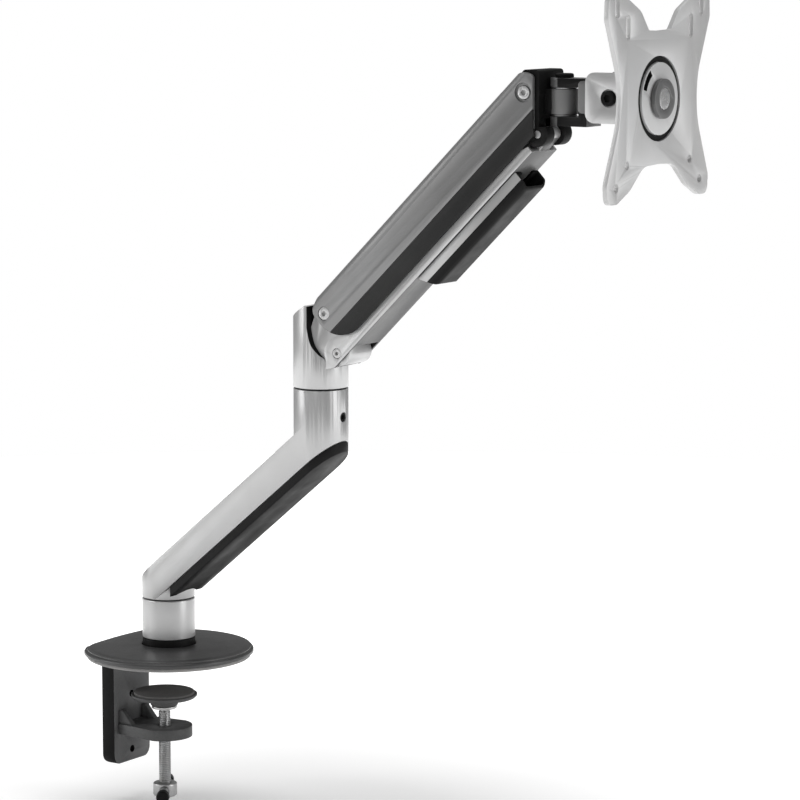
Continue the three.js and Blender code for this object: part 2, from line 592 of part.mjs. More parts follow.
// ---- head ----------------------------------------------------------------
function buildHead(root) {
  const head = group(root, 'head_group');
  const [ax, az] = HEAD_A;
  const [bx, bz] = HEAD_B;
  const front = 293.6;
  const back = ax - 3;
  const blockTop = az + 13.6;
  let body = rodY(9.4, -14.4, 14.4, ax, az, 32);
  body = body.add(prismY([
    [ax + 1.2, 362], [front, 362], [front, blockTop - 1.4], [front - 1.4, blockTop], [back + 2.4, blockTop],
    [back, blockTop - 2], [back, az + 6], [ax + 1.2, az],
  ], -14.4, 14.4));
  const cheek = wrap([[bx, bz, 7.4], [ax + 4, 368, 2.6], [front - 2.6, 368, 2.6]], 24);
  let cheeks = prismY(cheek, -14.4, 14.4);
  cheeks = cheeks.subtract(box(front, 330, -20, 20, 360.3, 400));
  body = body.add(cheeks);
  body = body.subtract(rodY(9.4, -6, 6, bx, bz, 28));
  body = body.subtract(prismY([
    [bx + 4, bz + 8.6], [bx - 5, bz + 9], [bx - 12, bz + 12], [bx - 30, bz - 6], [bx - 8, bz - 24], [bx + 6, bz - 8],
  ], -6, 6));
  const neck = box(291, SWIVEL_X - 3, -6.4, 6.4, 367.8, 382.5);
  body = body.add(rodZ(6, 367.5, 382.8, SWIVEL_X, 0, 36)).add(neck);
  body = body.subtract(rodZ(3.05, 360, 390, SWIVEL_X, 0, 20));
  body = body.subtract(rodY(4.05, -20, 20, ax, az, 24));
  body = body.subtract(rodY(2.55, -20, 20, bx, bz, 20));
  node(head, 'head_joint', body, 'black_plastic');

  const pinA = group(head, 'head_pin_upper_group', ax, 0, az);
  let pin = rodY(3.95, -17.1, 17.1, 0, 0, 24);
  for (const y0 of [-18, 15.6]) {
    pin = pin.subtract(rodY(1.9, y0, y0 + 2.4, 0, 0, 6));
  }
  node(pinA, 'head_pin_upper', pin, 'silver');
  const pinB = group(head, 'head_pin_lower_group', bx, 0, bz);
  node(pinB, 'head_pin_lower', rodY(2.45, -14.2, 14.2, 0, 0, 20), 'silver_dark');

  const pivot = group(head, 'swivel_pin_group', SWIVEL_X, 0, 0);
  const sleeve = rodZ(8.3, 367.5, 382.8, 0, 0, 40).subtract(rodZ(6.3, 360, 390, 0, 0, 36));
  node(pivot, 'swivel_sleeve', sleeve.subtract(box(-20, -2.7, -6.7, 6.7, 360, 390)), 'dark_grey');
  const bolt = turned([
    [0, 361], [2.6, 361], [2.9, 361.6], [2.9, 389.6], [5.6, 389.6], [5.6, 391], [4.4, 392], [0, 392],
  ], 24).subtract(rodZ(2, 390.4, 394, 0, 0, 6));
  node(pivot, 'swivel_pin', bolt, 'black_paint');
  const nut = rodZ(5.6, 361.2, 364.2, 0, 0, 6).subtract(rodZ(3.2, 350, 368, 0, 0, 20));
  node(pivot, 'swivel_nut', nut, 'zinc');
  node(pivot, 'swivel_washer_low', turnedTube(3.2, 7.8, 366.6, 367.2, 20), 'zinc');
  node(pivot, 'swivel_washer_high', turnedTube(3.2, 7.8, 383.1, 383.7, 20), 'zinc');
}

function buildSwivel(root) {
  const g = group(root, 'swivel_group', SWIVEL_X, 0, 0);
  const reach = TILT_X - SWIVEL_X;
  const webIn = 14.6;
  const webOut = 20.4;
  const plan = [...arc(0, 0, 8.5, 90, 270, 14), [webOut, -8.5], [webOut, 8.5]];
  let body = prismZ(plan, 384, 389.3).add(prismZ(plan, 360.7, 366.3));
  body = body.add(box(webIn, webOut, -8.5, 8.5, 360.7, 389.3));
  const lug = wrap([[reach, HEAD_Z, 9.6], [webIn + 4, HEAD_Z + 7, 2.6], [webIn + 4, HEAD_Z - 7, 2.6]], 20);
  body = body.add(prismY(lug, -11.2, 11.2).intersect(box(webIn + 0.5, 80, -12, 12, 340, 420)));
  body = body.subtract(rodZ(3.2, 350, 400, 0, 0, 20)).subtract(rodZ(6.1, 350, 364.7, 0, 0, 28));
  body = body.subtract(rodY(3.05, -20, 20, reach, HEAD_Z, 24));
  node(g, 'swivel_bracket', body, 'dark_grey');
}

function buildTilt(root) {
  const g = group(root, 'tilt_group', TILT_X, 0, HEAD_Z);
  const front = 21;
  const ear = [
    ...arc(-10, 9, 6, 90, 180, 6), ...arc(-10, -9, 6, 180, 270, 6), [front, -15], [front, 15],
  ];
  let body = prismY(ear, -15, 15).subtract(box(-30, front - 3, -12.2, 12.2, -20, 20));
  body = body.subtract(rodY(3.2, -20, 20, 0, 0, 24));
  body = body.subtract(rodY(5.3, -20, -13.8, 0, 0, 28));
  body = body.subtract(rodX(6.2, front - 5, front + 5, 0, 0, 24));
  node(g, 'tilt_bracket', body, 'silver');
  const head = turned([[0, 13.95], [4.6, 13.95], [4.6, 16], [3.8, 16.5], [0, 16.5]], 28);
  const shank = turned([[0, -17.6], [2.4, -17.6], [2.8, -17], [2.8, 14.2], [0, 14.2]], 20);
  const bolt = toGeometry(head.add(shank).subtract(rodZ(2.5, 14.9, 18, 0, 0, 6)));
  bolt.rotateX(Math.PI / 2);
  node(g, 'tilt_bolt', solid(bolt), 'black_paint');
  const nut = rodY(5.4, 15.3, 18.6, 0, 0, 6).subtract(rodY(3.1, 10, 25, 0, 0, 20));
  node(g, 'tilt_nut', nut, 'zinc');
  const washer = (y0) => rodY(8, y0, y0 + 0.4, 0, 0, 28).subtract(rodY(3.2, y0 - 1, y0 + 2, 0, 0, 20));
  node(g, 'tilt_washer_near', washer(-11.9), 'zinc');
  node(g, 'tilt_washer_far', washer(11.5), 'zinc');

  const face = PLATE_X - TILT_X;
  const hub = group(g, 'hub_group', 0, 0, 0);
  const notch = prismX([...arc(0, 0, 20.6, 163, 124, 8), ...arc(0, 0, 16.4, 124, 163, 8)], face - 2, face + 3);
  let disc = rodX(21.4, face - 3.3, face + 0.4, 0, 0, 32).add(rodX(28.5, front + 0.3, face - 3.2, 0, 0, 32));
  disc = disc.subtract(rodX(6.2, front - 5, face + 5, 0, 0, 24)).subtract(notch);
  node(hub, 'hub_disc', disc, 'silver');
  const collar = rodX(11.8, face + 0.7, face + 4, 0, 0, 36).subtract(rodX(6.6, face, face + 6, 0, 0, 24));
  node(hub, 'hub_collar', collar, 'dark_grey');
  const rivet = rodX(5.9, front - 3.6, face + 0.6, 0, 0, 24).add(rodX(6.3, face + 0.5, face + 3.6, 0, 0, 32));
  const tail = rodX(8.6, front - 6.4, front - 3.3, 0, 0, 28);
  node(hub, 'hub_rivet', rivet.add(tail), 'polished');
}

// ---- monitor plate, outline in Y and Z about its centre ------------------
function plateOutline() {
  const rightTop = [
    [13, 40.2], [16.4, 42.4], [19.6, 46.2], [22.6, 51.6], [26.4, 55.8], [31.6, 58.4], [38, 59], [46.8, 59],
    [60, 59], [60.6, 50], [58.6, 43], [54, 33], [49.6, 22], [46.6, 11], [45.4, 0],
  ];
  const rightLow = [
    [46.6, -11], [49.6, -22], [54, -33], [59, -45], [60.6, -51], [59.4, -56.4], [55.2, -59.4], [49, -59.2],
    [41, -56], [33.6, -52], [27, -47.2], [20.6, -42.4], [14, -39.6], [7, -38.6],
  ];
  const right = [[0, 39.8], ...rightTop, ...rightLow, [0, -38.4]];
  const left = right.slice(1, -1).reverse().map(([y, z]) => [-y, z]);
  return right.concat(left).reverse();
}

function buildPlate(root) {
  const g = group(root, 'plate_group', PLATE_X, 0, HEAD_Z);
  let plate = prismX(plateOutline(), -PLATE_T, 0);
  plate = plate.subtract(rodX(25.2, -10, 5, 0, 0, 32));
  for (const s of [-1, 1]) {
    for (const d of [37.5, 50]) {
      plate = plate.subtract(rodX(2.6, -10, 5, s * d, -d, 20));
    }
    plate = plate.subtract(prismX(wrap([[s * 37.5, 37.5, 2.6], [s * 37.5, 47, 2.6]], 20), -10, 5));
    plate = plate.subtract(prismX(wrap([[s * 50, 50, 2.6], [s * 50, 66, 2.6]], 20), -10, 5));
  }
  node(g, 'vesa_plate', plate, 'silver');
  node(g, 'friction_ring', rodX(24.8, -2.8, -1, 0, 0, 32).subtract(rodX(21.8, -5, 2, 0, 0, 32)), 'rubber');
}

const model = new THREE.Group();
model.name = 'monitor_arm';
buildBase(model);
buildClamp(model);
buildClampScrew(model);
buildLowerArm(model);
buildElbow(model);
buildUpperArm(model);
buildLink(model);
buildHead(model);
buildSwivel(model);
buildTilt(model);
buildPlate(model);

export default model;
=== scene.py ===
import json
import math

import bmesh
import bpy
from mathutils import Matrix, Vector


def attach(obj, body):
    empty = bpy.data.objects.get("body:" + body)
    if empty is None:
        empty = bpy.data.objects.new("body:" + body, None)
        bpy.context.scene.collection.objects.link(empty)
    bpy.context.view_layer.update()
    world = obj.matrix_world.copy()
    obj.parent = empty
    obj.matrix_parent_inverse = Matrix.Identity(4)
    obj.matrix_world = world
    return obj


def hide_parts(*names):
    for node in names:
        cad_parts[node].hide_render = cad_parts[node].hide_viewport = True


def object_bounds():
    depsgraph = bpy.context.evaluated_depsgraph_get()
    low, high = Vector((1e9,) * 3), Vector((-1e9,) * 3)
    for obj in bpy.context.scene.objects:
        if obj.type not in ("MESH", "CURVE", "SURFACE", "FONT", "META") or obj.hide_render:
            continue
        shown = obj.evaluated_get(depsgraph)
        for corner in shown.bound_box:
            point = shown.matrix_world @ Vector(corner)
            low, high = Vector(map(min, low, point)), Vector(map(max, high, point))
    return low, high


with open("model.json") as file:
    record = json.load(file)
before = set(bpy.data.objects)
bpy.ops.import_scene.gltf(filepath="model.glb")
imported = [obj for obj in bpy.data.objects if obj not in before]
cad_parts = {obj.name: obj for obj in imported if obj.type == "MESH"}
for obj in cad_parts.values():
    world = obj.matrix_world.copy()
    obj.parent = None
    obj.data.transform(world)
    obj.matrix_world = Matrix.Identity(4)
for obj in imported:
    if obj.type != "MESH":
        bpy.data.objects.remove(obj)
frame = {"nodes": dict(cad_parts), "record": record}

cad_low, cad_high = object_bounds()

# Desk-clamped spring monitor arm. Lengths below are in millimetres in the shared frame:
# +Z up from the desk top, +X over the desk, the base swivel axis at X = Y = 0.
MM = 0.001                         # metres
POST_R = 17.5                      # both posts
ELBOW_X = 124.0                    # elbow swivel axis
JOINT_Z = 40.0                     # parting between base post and lower arm
ELBOW_Z = 189.0                    # parting between lower arm and elbow head
LOWER_PITCH = math.radians(39.6)   # slope of the lower arm
LOWER_TOP = 64.4                   # its top line at X = 0
LOWER_DEEP = 19.6                  # its depth, square to the slope
COVER_DEEP = 5.6                   # depth of the cable cover under it
PITCH = math.radians(44.2)         # slope of upper arm and link at rest
LINK_LEN = 203.7                   # from pin to pin
PIVOT_A = (138.5, 238.6)           # upper arm's elbow pin, X and Z
PIVOT_B = (146.5, 213.6)           # link's elbow pin
HEAD_A = (PIVOT_A[0] + LINK_LEN * math.cos(PITCH), PIVOT_A[1] + LINK_LEN * math.sin(PITCH))
HEAD_B = (HEAD_A[0] + 8, HEAD_A[1] - 25)
SWIVEL_X = 303.0                   # head swivel axis
HEAD_Z = 378.5                     # tilt axis and middle of the plate
TILT_X = 342.0
PLATE_X = 368.0                    # front face of the plate
HOUSE_LOW = -23.0                  # lower edge of the housing, under its pin line
SKIRT_TOP = -11.5
HOUSE_IN = 14.9                    # half the housing's inner width
BASE_R = 56.2
BASE_BACK = -43.0                  # flat back of the base
BOLT_X = -37.0                     # bracket screws
BOLT_Y = 10                        # bracket and jaw screws, to each side
CLAMP_X = -4.4                     # clamp screw axis
JAW_Z = -51.5                      # middle of the jaw
BAR_Z = -91.5                      # handle bar
HANDLE_TURN = math.radians(33.7)   # its turn at rest


# ---- outlines --------------------------------------------------------------
def arc(cx, cy, r, start, end, steps):
    """Points on an arc, angles in degrees, both ends included."""
    out = []
    for i in range(steps + 1):
        a = math.radians(start + (end - start) * i / steps)
        out.append((cx + r * math.cos(a), cy + r * math.sin(a)))
    return out


def rounded(points, default=0.0, steps=6):
    """A closed outline with each corner rounded. A point may give its own radius third."""
    out = []
    n = len(points)
    for i, p in enumerate(points):
        r = p[2] if len(p) > 2 else default
        here = Vector(p[:2])
        a = Vector(points[i - 1][:2]) - here
        b = Vector(points[(i + 1) % n][:2]) - here
        if r <= 0 or a.length < 1e-6 or b.length < 1e-6:
            out.append(tuple(here))
            continue
        half = a.angle(b) / 2
        if half > math.radians(88.5):
            out.append(tuple(here))
            continue
        back = min(r / math.tan(half), a.length * 0.49, b.length * 0.49)
        r = back * math.tan(half)
        a.normalize()
        b.normalize()
        centre = here + (a + b).normalized() * (r / math.sin(half))
        u = here + a * back - centre
        v = here + b * back - centre
        turn = u.angle(v)
        side = 1 if u.x * v.y - u.y * v.x > 0 else -1
        for k in range(steps + 1):
            t = side * turn * k / steps
            c, s = math.cos(t), math.sin(t)
            out.append((centre.x + u.x * c - u.y * s, centre.y + u.x * s + u.y * c))
    return out


def hull(discs, steps=72):
    """Convex outline round a set of discs given as (x, y, radius)."""
    pts = []
    for x, y, r in discs:
        pts += arc(x, y, r, 0, 360 - 360 / steps, steps - 1)
    pts = sorted(set((round(x, 5), round(y, 5)) for x, y in pts))

    def half(items):
        chain = []
        for p in items:
            while len(chain) > 1 and (
                (chain[-1][0] - chain[-2][0]) * (p[1] - chain[-2][1])
                - (chain[-1][1] - chain[-2][1]) * (p[0] - chain[-2][0])
            ) <= 1e-7:
                chain.pop()
            chain.append(p)
        return chain[:-1]

    return half(pts) + half(pts[::-1])


def circle(cx, cy, r, steps=64):
    return arc(cx, cy, r, 0, 360 - 360 / steps, steps - 1)


def stadium(r, x0, x1, steps=40):
    return arc(x1, 0, r, -90, 90, steps) + arc(x0, 0, r, 90, 270, steps)


def post_circle(x, r=POST_R):
    """A post's outline, its points set like those on a stadium of 48 steps."""
    return arc(x, 0, r, -90, 270 - 3.75, 95)


# ---- meshes ----------------------------------------------------------------
def made(bm, name="piece"):
    bmesh.ops.remove_doubles(bm, verts=bm.verts, dist=1e-7)
    bmesh.ops.recalc_face_normals(bm, faces=bm.faces)
    mesh = bpy.data.meshes.new(name)
    bm.to_mesh(mesh)
    bm.free()
    obj = bpy.data.objects.new(name, mesh)
    bpy.context.scene.collection.objects.link(obj)
    return obj


PLACE = {
    "X": lambda p, h: Vector((h, p[0], p[1])),
    "Y": lambda p, h: Vector((p[0], h, p[1])),
    "Z": lambda p, h: Vector((p[0], p[1], h)),
}


def prism(points, low, high, axis="Z"):
    """An outline stretched along an axis. It lies in the other two axes, in X, Y, Z order."""
    bm = bmesh.new()
    put = PLACE[axis]
    a = [bm.verts.new(put(p, low) * MM) for p in points]
    b = [bm.verts.new(put(p, high) * MM) for p in points]
    bm.faces.new(a)
    bm.faces.new(b[::-1])
    n = len(points)
    for i in range(n):
        bm.faces.new((a[i], b[i], b[(i + 1) % n], a[(i + 1) % n]))
    return made(bm)


def rod(r, low, high, axis="Z", at=(0, 0), steps=64):
    return prism(circle(at[0], at[1], r, steps), low, high, axis)


def block(x0, x1, y0, y1, z0, z1):
    return prism([(x0, y0), (x1, y0), (x1, y1), (x0, y1)], z0, z1)


def lathe(profile, seg=96):
    """A closed outline of (radius, height) turned about the Z axis."""
    bm = bmesh.new()
    rings = []
    for r, h in profile:
        ring = []
        if r < 1e-6:
            ring = [bm.verts.new(Vector((0, 0, h)) * MM)] * seg
        else:
            for k in range(seg):
                a = 2 * math.pi * k / seg
                ring.append(bm.verts.new(Vector((r * math.cos(a), r * math.sin(a), h)) * MM))
        rings.append(ring)
    n = len(rings)
    for i in range(n):
        a, b = rings[i], rings[(i + 1) % n]
        for k in range(seg):
            quad = [a[k], a[(k + 1) % seg], b[(k + 1) % seg], b[k]]
            corners = []
            for v in quad:
                if v not in corners:
                    corners.append(v)
            if len(corners) > 2:
                bm.faces.new(corners)
    return made(bm)


def applied(obj):
    """Modifiers baked into the object's own mesh."""
    bpy.context.view_layer.update()
    dg = bpy.context.evaluated_depsgraph_get()
    mesh = bpy.data.meshes.new_from_object(obj.evaluated_get(dg))
    old = obj.data
    obj.modifiers.clear()
    obj.data = mesh
    bpy.data.meshes.remove(old)
    return obj


def combine(obj, how, *tools):
    for tool in tools:
        m = obj.modifiers.new("join", "BOOLEAN")
        m.operation = how
        m.solver = "MANIFOLD"
        m.object = tool
        applied(obj)
        mesh = tool.data
        bpy.data.objects.remove(tool)
        bpy.data.meshes.remove(mesh)
    bm = bmesh.new()
    bm.from_mesh(obj.data)
    bmesh.ops.remove_doubles(bm, verts=bm.verts, dist=2e-6)
    bmesh.ops.dissolve_limit(bm, angle_limit=math.radians(0.4), verts=bm.verts, edges=bm.edges)
    bm.to_mesh(obj.data)
    bm.free()
    return obj


def cut(obj, *tools):
    return combine(obj, "DIFFERENCE", *tools)


def join(obj, *tools):
    return combine(obj, "UNION", *tools)


def keep(obj, *tools):
    return combine(obj, "INTERSECT", *tools)


def along(obj, pivot):
    """Turns a piece drawn along the level X axis up to the upper arm's slope, at its pivot."""
    turn = Matrix.Rotation(-PITCH, 4, "Y")
    move = Matrix.Translation(Vector((pivot[0], 0, pivot[1])) * MM)
    obj.data.transform(move @ turn)
    return obj


def shift(obj, x=0.0, y=0.0, z=0.0):
    obj.data.transform(Matrix.Translation(Vector((x, y, z)) * MM))
    return obj


BODY_OF = {}
for body_name, nodes_in_body in frame["record"]["behaviour"]["bodies"].items():
    for node_name in nodes_in_body:
        BODY_OF[node_name] = body_name


def piece(obj, node, material, bevel=0.5, angle=28, segments=3):
    """Names the piece, gives it soft edges and its finish, and ties it to its CAD node."""
    obj.name = "v_" + node
    obj.data.name = obj.name
    if bevel:
        m = obj.modifiers.new("edges", "BEVEL")
        m.width = bevel * MM
        m.segments = segments
        m.limit_method = "ANGLE"
        m.angle_limit = math.radians(angle)
        m.harden_normals = True
        m.use_clamp_overlap = True
        applied(obj)
    obj.data.polygons.foreach_set("use_smooth", [True] * len(obj.data.polygons))
    obj.data.set_sharp_from_angle(angle=math.radians(32))
    obj.data.materials.clear()
    obj.data.materials.append(material)
    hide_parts(node)
    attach(obj, BODY_OF[node])
    return obj


def second_finish_or_painted_light(obj, material, where):
    """Gives another finish to the faces whose centre, in millimetres, passes a test. Most calls use it to
    paint light or shade into the faces.
    """
    obj.data.materials.append(material)
    index = len(obj.data.materials) - 1
    for face in obj.data.polygons:
        if where(face.center / MM, face.normal):
            face.material_index = index
    return obj


def scored(obj, z):
    """Adds an edge line all round the piece at a height, so a finish can change there."""
    bm = bmesh.new()
    bm.from_mesh(obj.data)
    everything = bm.verts[:] + bm.edges[:] + bm.faces[:]
    bmesh.ops.bisect_plane(bm, geom=everything, dist=1e-7, plane_co=(0, 0, z * MM), plane_no=(0, 0, 1))
    bm.to_mesh(obj.data)
    bm.free()
    return obj


# ---- finishes --------------------------------------------------------------
class Finish:
    """A procedural finish, built in metres on object coordinates."""

    def __init__(self, name, metal=0.0, coat=0.0, coat_rough=0.2, ior=1.5, specular=0.5, aniso=0.0):
        self.mat = bpy.data.materials.new(name)
        self.mat.use_nodes = True
        self.tree = self.mat.node_tree
        self.tree.nodes.clear()
        self.out = self.add("ShaderNodeOutputMaterial")
        self.bsdf = self.add("ShaderNodeBsdfPrincipled")
        self.link(self.bsdf.outputs["BSDF"], self.out.inputs["Surface"])
        self.bsdf.inputs["Metallic"].default_value = metal
        self.bsdf.inputs["Coat Weight"].default_value = coat
        self.bsdf.inputs["Coat Roughness"].default_value = coat_rough
        self.bsdf.inputs["IOR"].default_value = ior
        self.bsdf.inputs["Specular IOR Level"].default_value = specular
        self.bsdf.inputs["Anisotropic"].default_value = aniso
        self.coord = self.add("ShaderNodeTexCoord").outputs["Object"]
        self.normal = None

    def add(self, kind, **values):
        node = self.tree.nodes.new(kind)
        for key, value in values.items():
            setattr(node, key, value)
        return node

    def link(self, a, b):
        self.tree.links.new(a, b)

    def stretched(self, x, y, z, turn=0.0):
        m = self.add("ShaderNodeMapping")
        m.inputs["Scale"].default_value = (x, y, z)
        m.inputs["Rotation"].default_value = (0, turn, 0)
        self.link(self.coord, m.inputs["Vector"])
        return m.outputs["Vector"]

    def noise(self, scale, detail=3.0, rough=0.5, vector=None, distortion=0.0):
        n = self.add("ShaderNodeTexNoise")
        n.inputs["Scale"].default_value = scale
        n.inputs["Detail"].default_value = detail
        n.inputs["Roughness"].default_value = rough
        n.inputs["Distortion"].default_value = distortion
        self.link(vector or self.coord, n.inputs["Vector"])
        return n.outputs["Fac"]

    def cells(self, scale):
        n = self.add("ShaderNodeTexVoronoi")
        n.inputs["Scale"].default_value = scale
        self.link(self.coord, n.inputs["Vector"])
        return n.outputs["Distance"]

    def span(self, value, low, high, a, b):
        """value between low and high becomes a to b, clamped."""
        n = self.add("ShaderNodeMapRange")
        n.inputs["From Min"].default_value = low
        n.inputs["From Max"].default_value = high
        n.inputs["To Min"].default_value = a
        n.inputs["To Max"].default_value = b
        self.link(value, n.inputs["Value"])
        return n.outputs["Result"]

    def maths(self, op, a, b):
        n = self.add("ShaderNodeMath", operation=op)
        for socket, v in zip(n.inputs, (a, b)):
            if isinstance(v, (int, float)):
                socket.default_value = v
            else:
                self.link(v, socket)
        return n.outputs[0]

    def mix(self, factor, a, b):
        n = self.add("ShaderNodeMix", data_type="RGBA")
        for index, v in ((0, factor), (6, a), (7, b)):
            if isinstance(v, (int, float)):
                n.inputs[index].default_value = v
            elif isinstance(v, tuple):
                n.inputs[index].default_value = (*v, 1.0)
            else:
                self.link(v, n.inputs[index])
        return n.outputs[2]

    def bump(self, height, strength, distance_mm):
        n = self.add("ShaderNodeBump")
        n.inputs["Strength"].default_value = strength
        n.inputs["Distance"].default_value = distance_mm * MM
        self.link(height, n.inputs["Height"])
        if self.normal is not None:
            self.link(self.normal, n.inputs["Normal"])
        self.normal = n.outputs["Normal"]

    def edges(self, radius_mm):
        """1 on a worn edge and 0 on flat ground."""
        soft = self.add("ShaderNodeBevel", samples=4)
        soft.inputs["Radius"].default_value = radius_mm * MM
        geo = self.add("ShaderNodeNewGeometry")
        dot = self.add("ShaderNodeVectorMath", operation="DOT_PRODUCT")
        self.link(soft.outputs["Normal"], dot.inputs[0])
        self.link(geo.outputs["Normal"], dot.inputs[1])
        return self.span(dot.outputs["Value"], 0.99, 0.86, 0.0, 1.0)

    def done(self, color, rough):
        self.link(color, self.bsdf.inputs["Base Color"])
        self.link(rough, self.bsdf.inputs["Roughness"])
        if self.normal is not None:
            self.link(self.normal, self.bsdf.inputs["Normal"])
        return self.mat


def grey(v, warm=0.0):
    return (v * (1 + warm), v, v * (1 - warm))


def metallic_paint(name, value, metal, rough, flake=0.08, coat=0.15, wear=0.5):
    """Satin lacquer with fine metal flake, faint orange peel, handling marks and rubbed edges."""
    f = Finish(name, metal=metal, coat=coat, coat_rough=0.22)
    cloud = f.noise(14, 4, 0.55)
    fleck = f.cells(2600)
    base = f.mix(f.span(cloud, 0.3, 0.7, 0, 1), grey(value * 0.95, 0.004), grey(value * 1.04, -0.004))
    sparkle = f.noise(5200, 1, 0.6)
    base = f.mix(f.span(sparkle, 0.42, 0.68, 0, flake), base, grey(min(1.0, value * 1.7)))
    rub = f.edges(0.55)
    patch = f.span(f.noise(120, 3, 0.6), 0.35, 0.65, 0.15, 1.0)
    worn = f.maths("MULTIPLY", rub, patch)
    base = f.mix(f.maths("MULTIPLY", worn, 0.35 * wear), base, grey(min(1.0, value * 1.45 + 0.06)))
    smear = f.noise(42, 5, 0.62, f.stretched(1, 1, 0.35), 0.4)
    r = f.span(smear, 0.3, 0.72, rough - 0.05, rough + 0.09)
    fine = f.span(f.noise(1500, 2, 0.5), 0.3, 0.7, -0.03, 0.03)
    r = f.maths("ADD", r, fine)
    f.bump(f.noise(520, 3, 0.5), 0.18, 0.05)
    f.bump(fleck, 0.05, 0.03)
    return f.done(base, r)


def moulded_plastic(name, value, rough, grain=1400, depth=0.3):
    """Spark-eroded moulding texture with slight bloom, scuffs and polished edges."""
    f = Finish(name, ior=1.48, specular=0.14)
    cloud = f.noise(22, 4, 0.6)
    base = f.mix(f.span(cloud, 0.3, 0.7, 0, 1), grey(value * 0.82), grey(value * 1.22, 0.01))
    pits = f.cells(grain)
    base = f.mix(f.span(pits, 0.1, 0.55, 0.0, 0.25), base, grey(value * 1.6))
    scuff = f.span(f.noise(260, 6, 0.7, f.stretched(1, 0.25, 1, 0.6), 0.8), 0.62, 0.78, 0, 0.35)
    base = f.mix(scuff, base, grey(value * 1.9 + 0.02))
    rub = f.maths("MULTIPLY", f.edges(0.45), f.span(f.noise(90, 3, 0.6), 0.35, 0.65, 0.2, 1))
    base = f.mix(f.maths("MULTIPLY", rub, 0.3), base, grey(value * 2.2 + 0.03))
    r = f.span(f.noise(60, 5, 0.6), 0.3, 0.7, rough - 0.06, rough + 0.1)
    r = f.maths("SUBTRACT", r, f.maths("MULTIPLY", rub, 0.12))
    f.bump(pits, depth, 0.08)
    f.bump(f.noise(3200, 2, 0.6), 0.15, 0.03)
    return f.done(base, r)


def powder_coat(name, value, rough, metal=0.15):
    """Stoved powder on steel plate: pebbled skin, small nibs and bright chips at the edges."""
    f = Finish(name, metal=metal, specular=0.1)
    cloud = f.noise(18, 4, 0.6)
    base = f.mix(f.span(cloud, 0.3, 0.7, 0, 1), grey(value * 0.88), grey(value * 1.14, -0.01))
    pebble = f.noise(900, 4, 0.62)
    base = f.mix(f.span(pebble, 0.45, 0.75, 0, 0.3), base, grey(value * 1.45 + 0.01))
    chip = f.maths("MULTIPLY", f.edges(0.5), f.span(f.noise(420, 4, 0.7), 0.56, 0.66, 0, 1))
    base = f.mix(f.maths("MULTIPLY", chip, 0.42), base, grey(0.42))
    r = f.span(f.noise(75, 5, 0.6), 0.3, 0.7, rough - 0.05, rough + 0.1)
    f.bump(pebble, 0.35, 0.09)
    f.bump(f.noise(160, 3, 0.5), 0.12, 0.12)
    return f.done(base, r)


def plated_steel(name, value, rough, lathe_axis=(1, 1, 40), warm=0.012):
    """Zinc or turned steel: tool lines round the piece, cloudy passivation and dull patches."""
    f = Finish(name, metal=1.0, aniso=0.35)
    lines = f.noise(90, 3, 0.6, f.stretched(*lathe_axis))
    cloud = f.noise(70, 5, 0.65)
    base = f.mix(f.span(cloud, 0.3, 0.7, 0, 1), grey(value * 0.86, warm), grey(value * 1.06, -warm))
    base = f.mix(f.span(lines, 0.35, 0.7, 0, 0.3), base, grey(value * 0.72))
    grime = f.span(f.noise(300, 6, 0.7), 0.6, 0.8, 0, 0.4)
    base = f.mix(grime, base, grey(value * 0.45, 0.03))
    r = f.span(cloud, 0.3, 0.7, rough - 0.05, rough + 0.1)
    r = f.maths("ADD", r, f.span(lines, 0.3, 0.7, -0.03, 0.07))
    f.bump(lines, 0.22, 0.03)
    f.bump(f.noise(1800, 2, 0.5), 0.1, 0.02)
    return f.done(base, r)


def soft_rubber(name, value):
    """Matt rubber with a woven print and dusty patches."""
    f = Finish(name, ior=1.45, specular=0.15)
    cloud = f.noise(30, 5, 0.65)
    base = f.mix(f.span(cloud, 0.3, 0.7, 0, 1), grey(value * 0.85, 0.01), grey(value * 1.18, 0.02))
    dust = f.span(f.noise(700, 5, 0.75), 0.52, 0.74, 0, 0.35)
    base = f.mix(dust, base, grey(value * 1.5 + 0.03, 0.02))
    knit = f.cells(820)
    f.bump(knit, 0.4, 0.12)
    f.bump(f.noise(240, 4, 0.6), 0.15, 0.15)
    return f.done(base, f.span(cloud, 0.3, 0.7, 0.77, 0.93))


SILVER = metallic_paint("silver lacquer", 0.46, 0.55, 0.33, flake=0.10)
SILVER_ARM = metallic_paint("silver lacquer, lower arm", 0.44, 0.5, 0.36, flake=0.10)
PLATE_SILVER = metallic_paint("silver lacquer, plate", 0.50, 0.35, 0.44, flake=0.08, coat=0.08)
LINK_SILVER = metallic_paint("silver lacquer, link", 0.46, 0.55, 0.38, flake=0.08)
# Darker grey for the link's downward faces: painted shade under the link.
LINK_SHADE = metallic_paint("painted shade under the link", 0.10, 0.3, 0.5, flake=0.06, coat=0.05)
COVER_GREY = metallic_paint("graphite lacquer", 0.20, 0.4, 0.42, flake=0.10, wear=0.35)
DARK_GREY = metallic_paint("dark grey lacquer", 0.05, 0.3, 0.42, flake=0.06, wear=0.4)
BRACKET_GREY = metallic_paint("dark grey lacquer, bracket", 0.12, 0.35, 0.42, flake=0.06)
SLEEVE_GREY = metallic_paint("dark grey lacquer, sleeve", 0.20, 0.3, 0.42, flake=0.06)
COLLAR_GREY = metallic_paint("mid grey lacquer, collar", 0.12, 0.4, 0.42, flake=0.06)
BLACK_STEEL = powder_coat("black powder coat", 0.006, 0.55, metal=0.0)
JAW_STEEL = powder_coat("black powder coat, jaws", 0.09, 0.45)
# Lighter grey for the clamp bracket's front: painted light, the light falling on faces turned to +X.
BRACKET_PAINTED_LIGHT = powder_coat("black powder coat, painted light on bracket front", 0.13, 0.45)
BLACK_PLASTIC = moulded_plastic("black moulding", 0.006, 0.5)
SKIRT_PLASTIC = moulded_plastic("dark moulding, skirts", 0.022, 0.5)
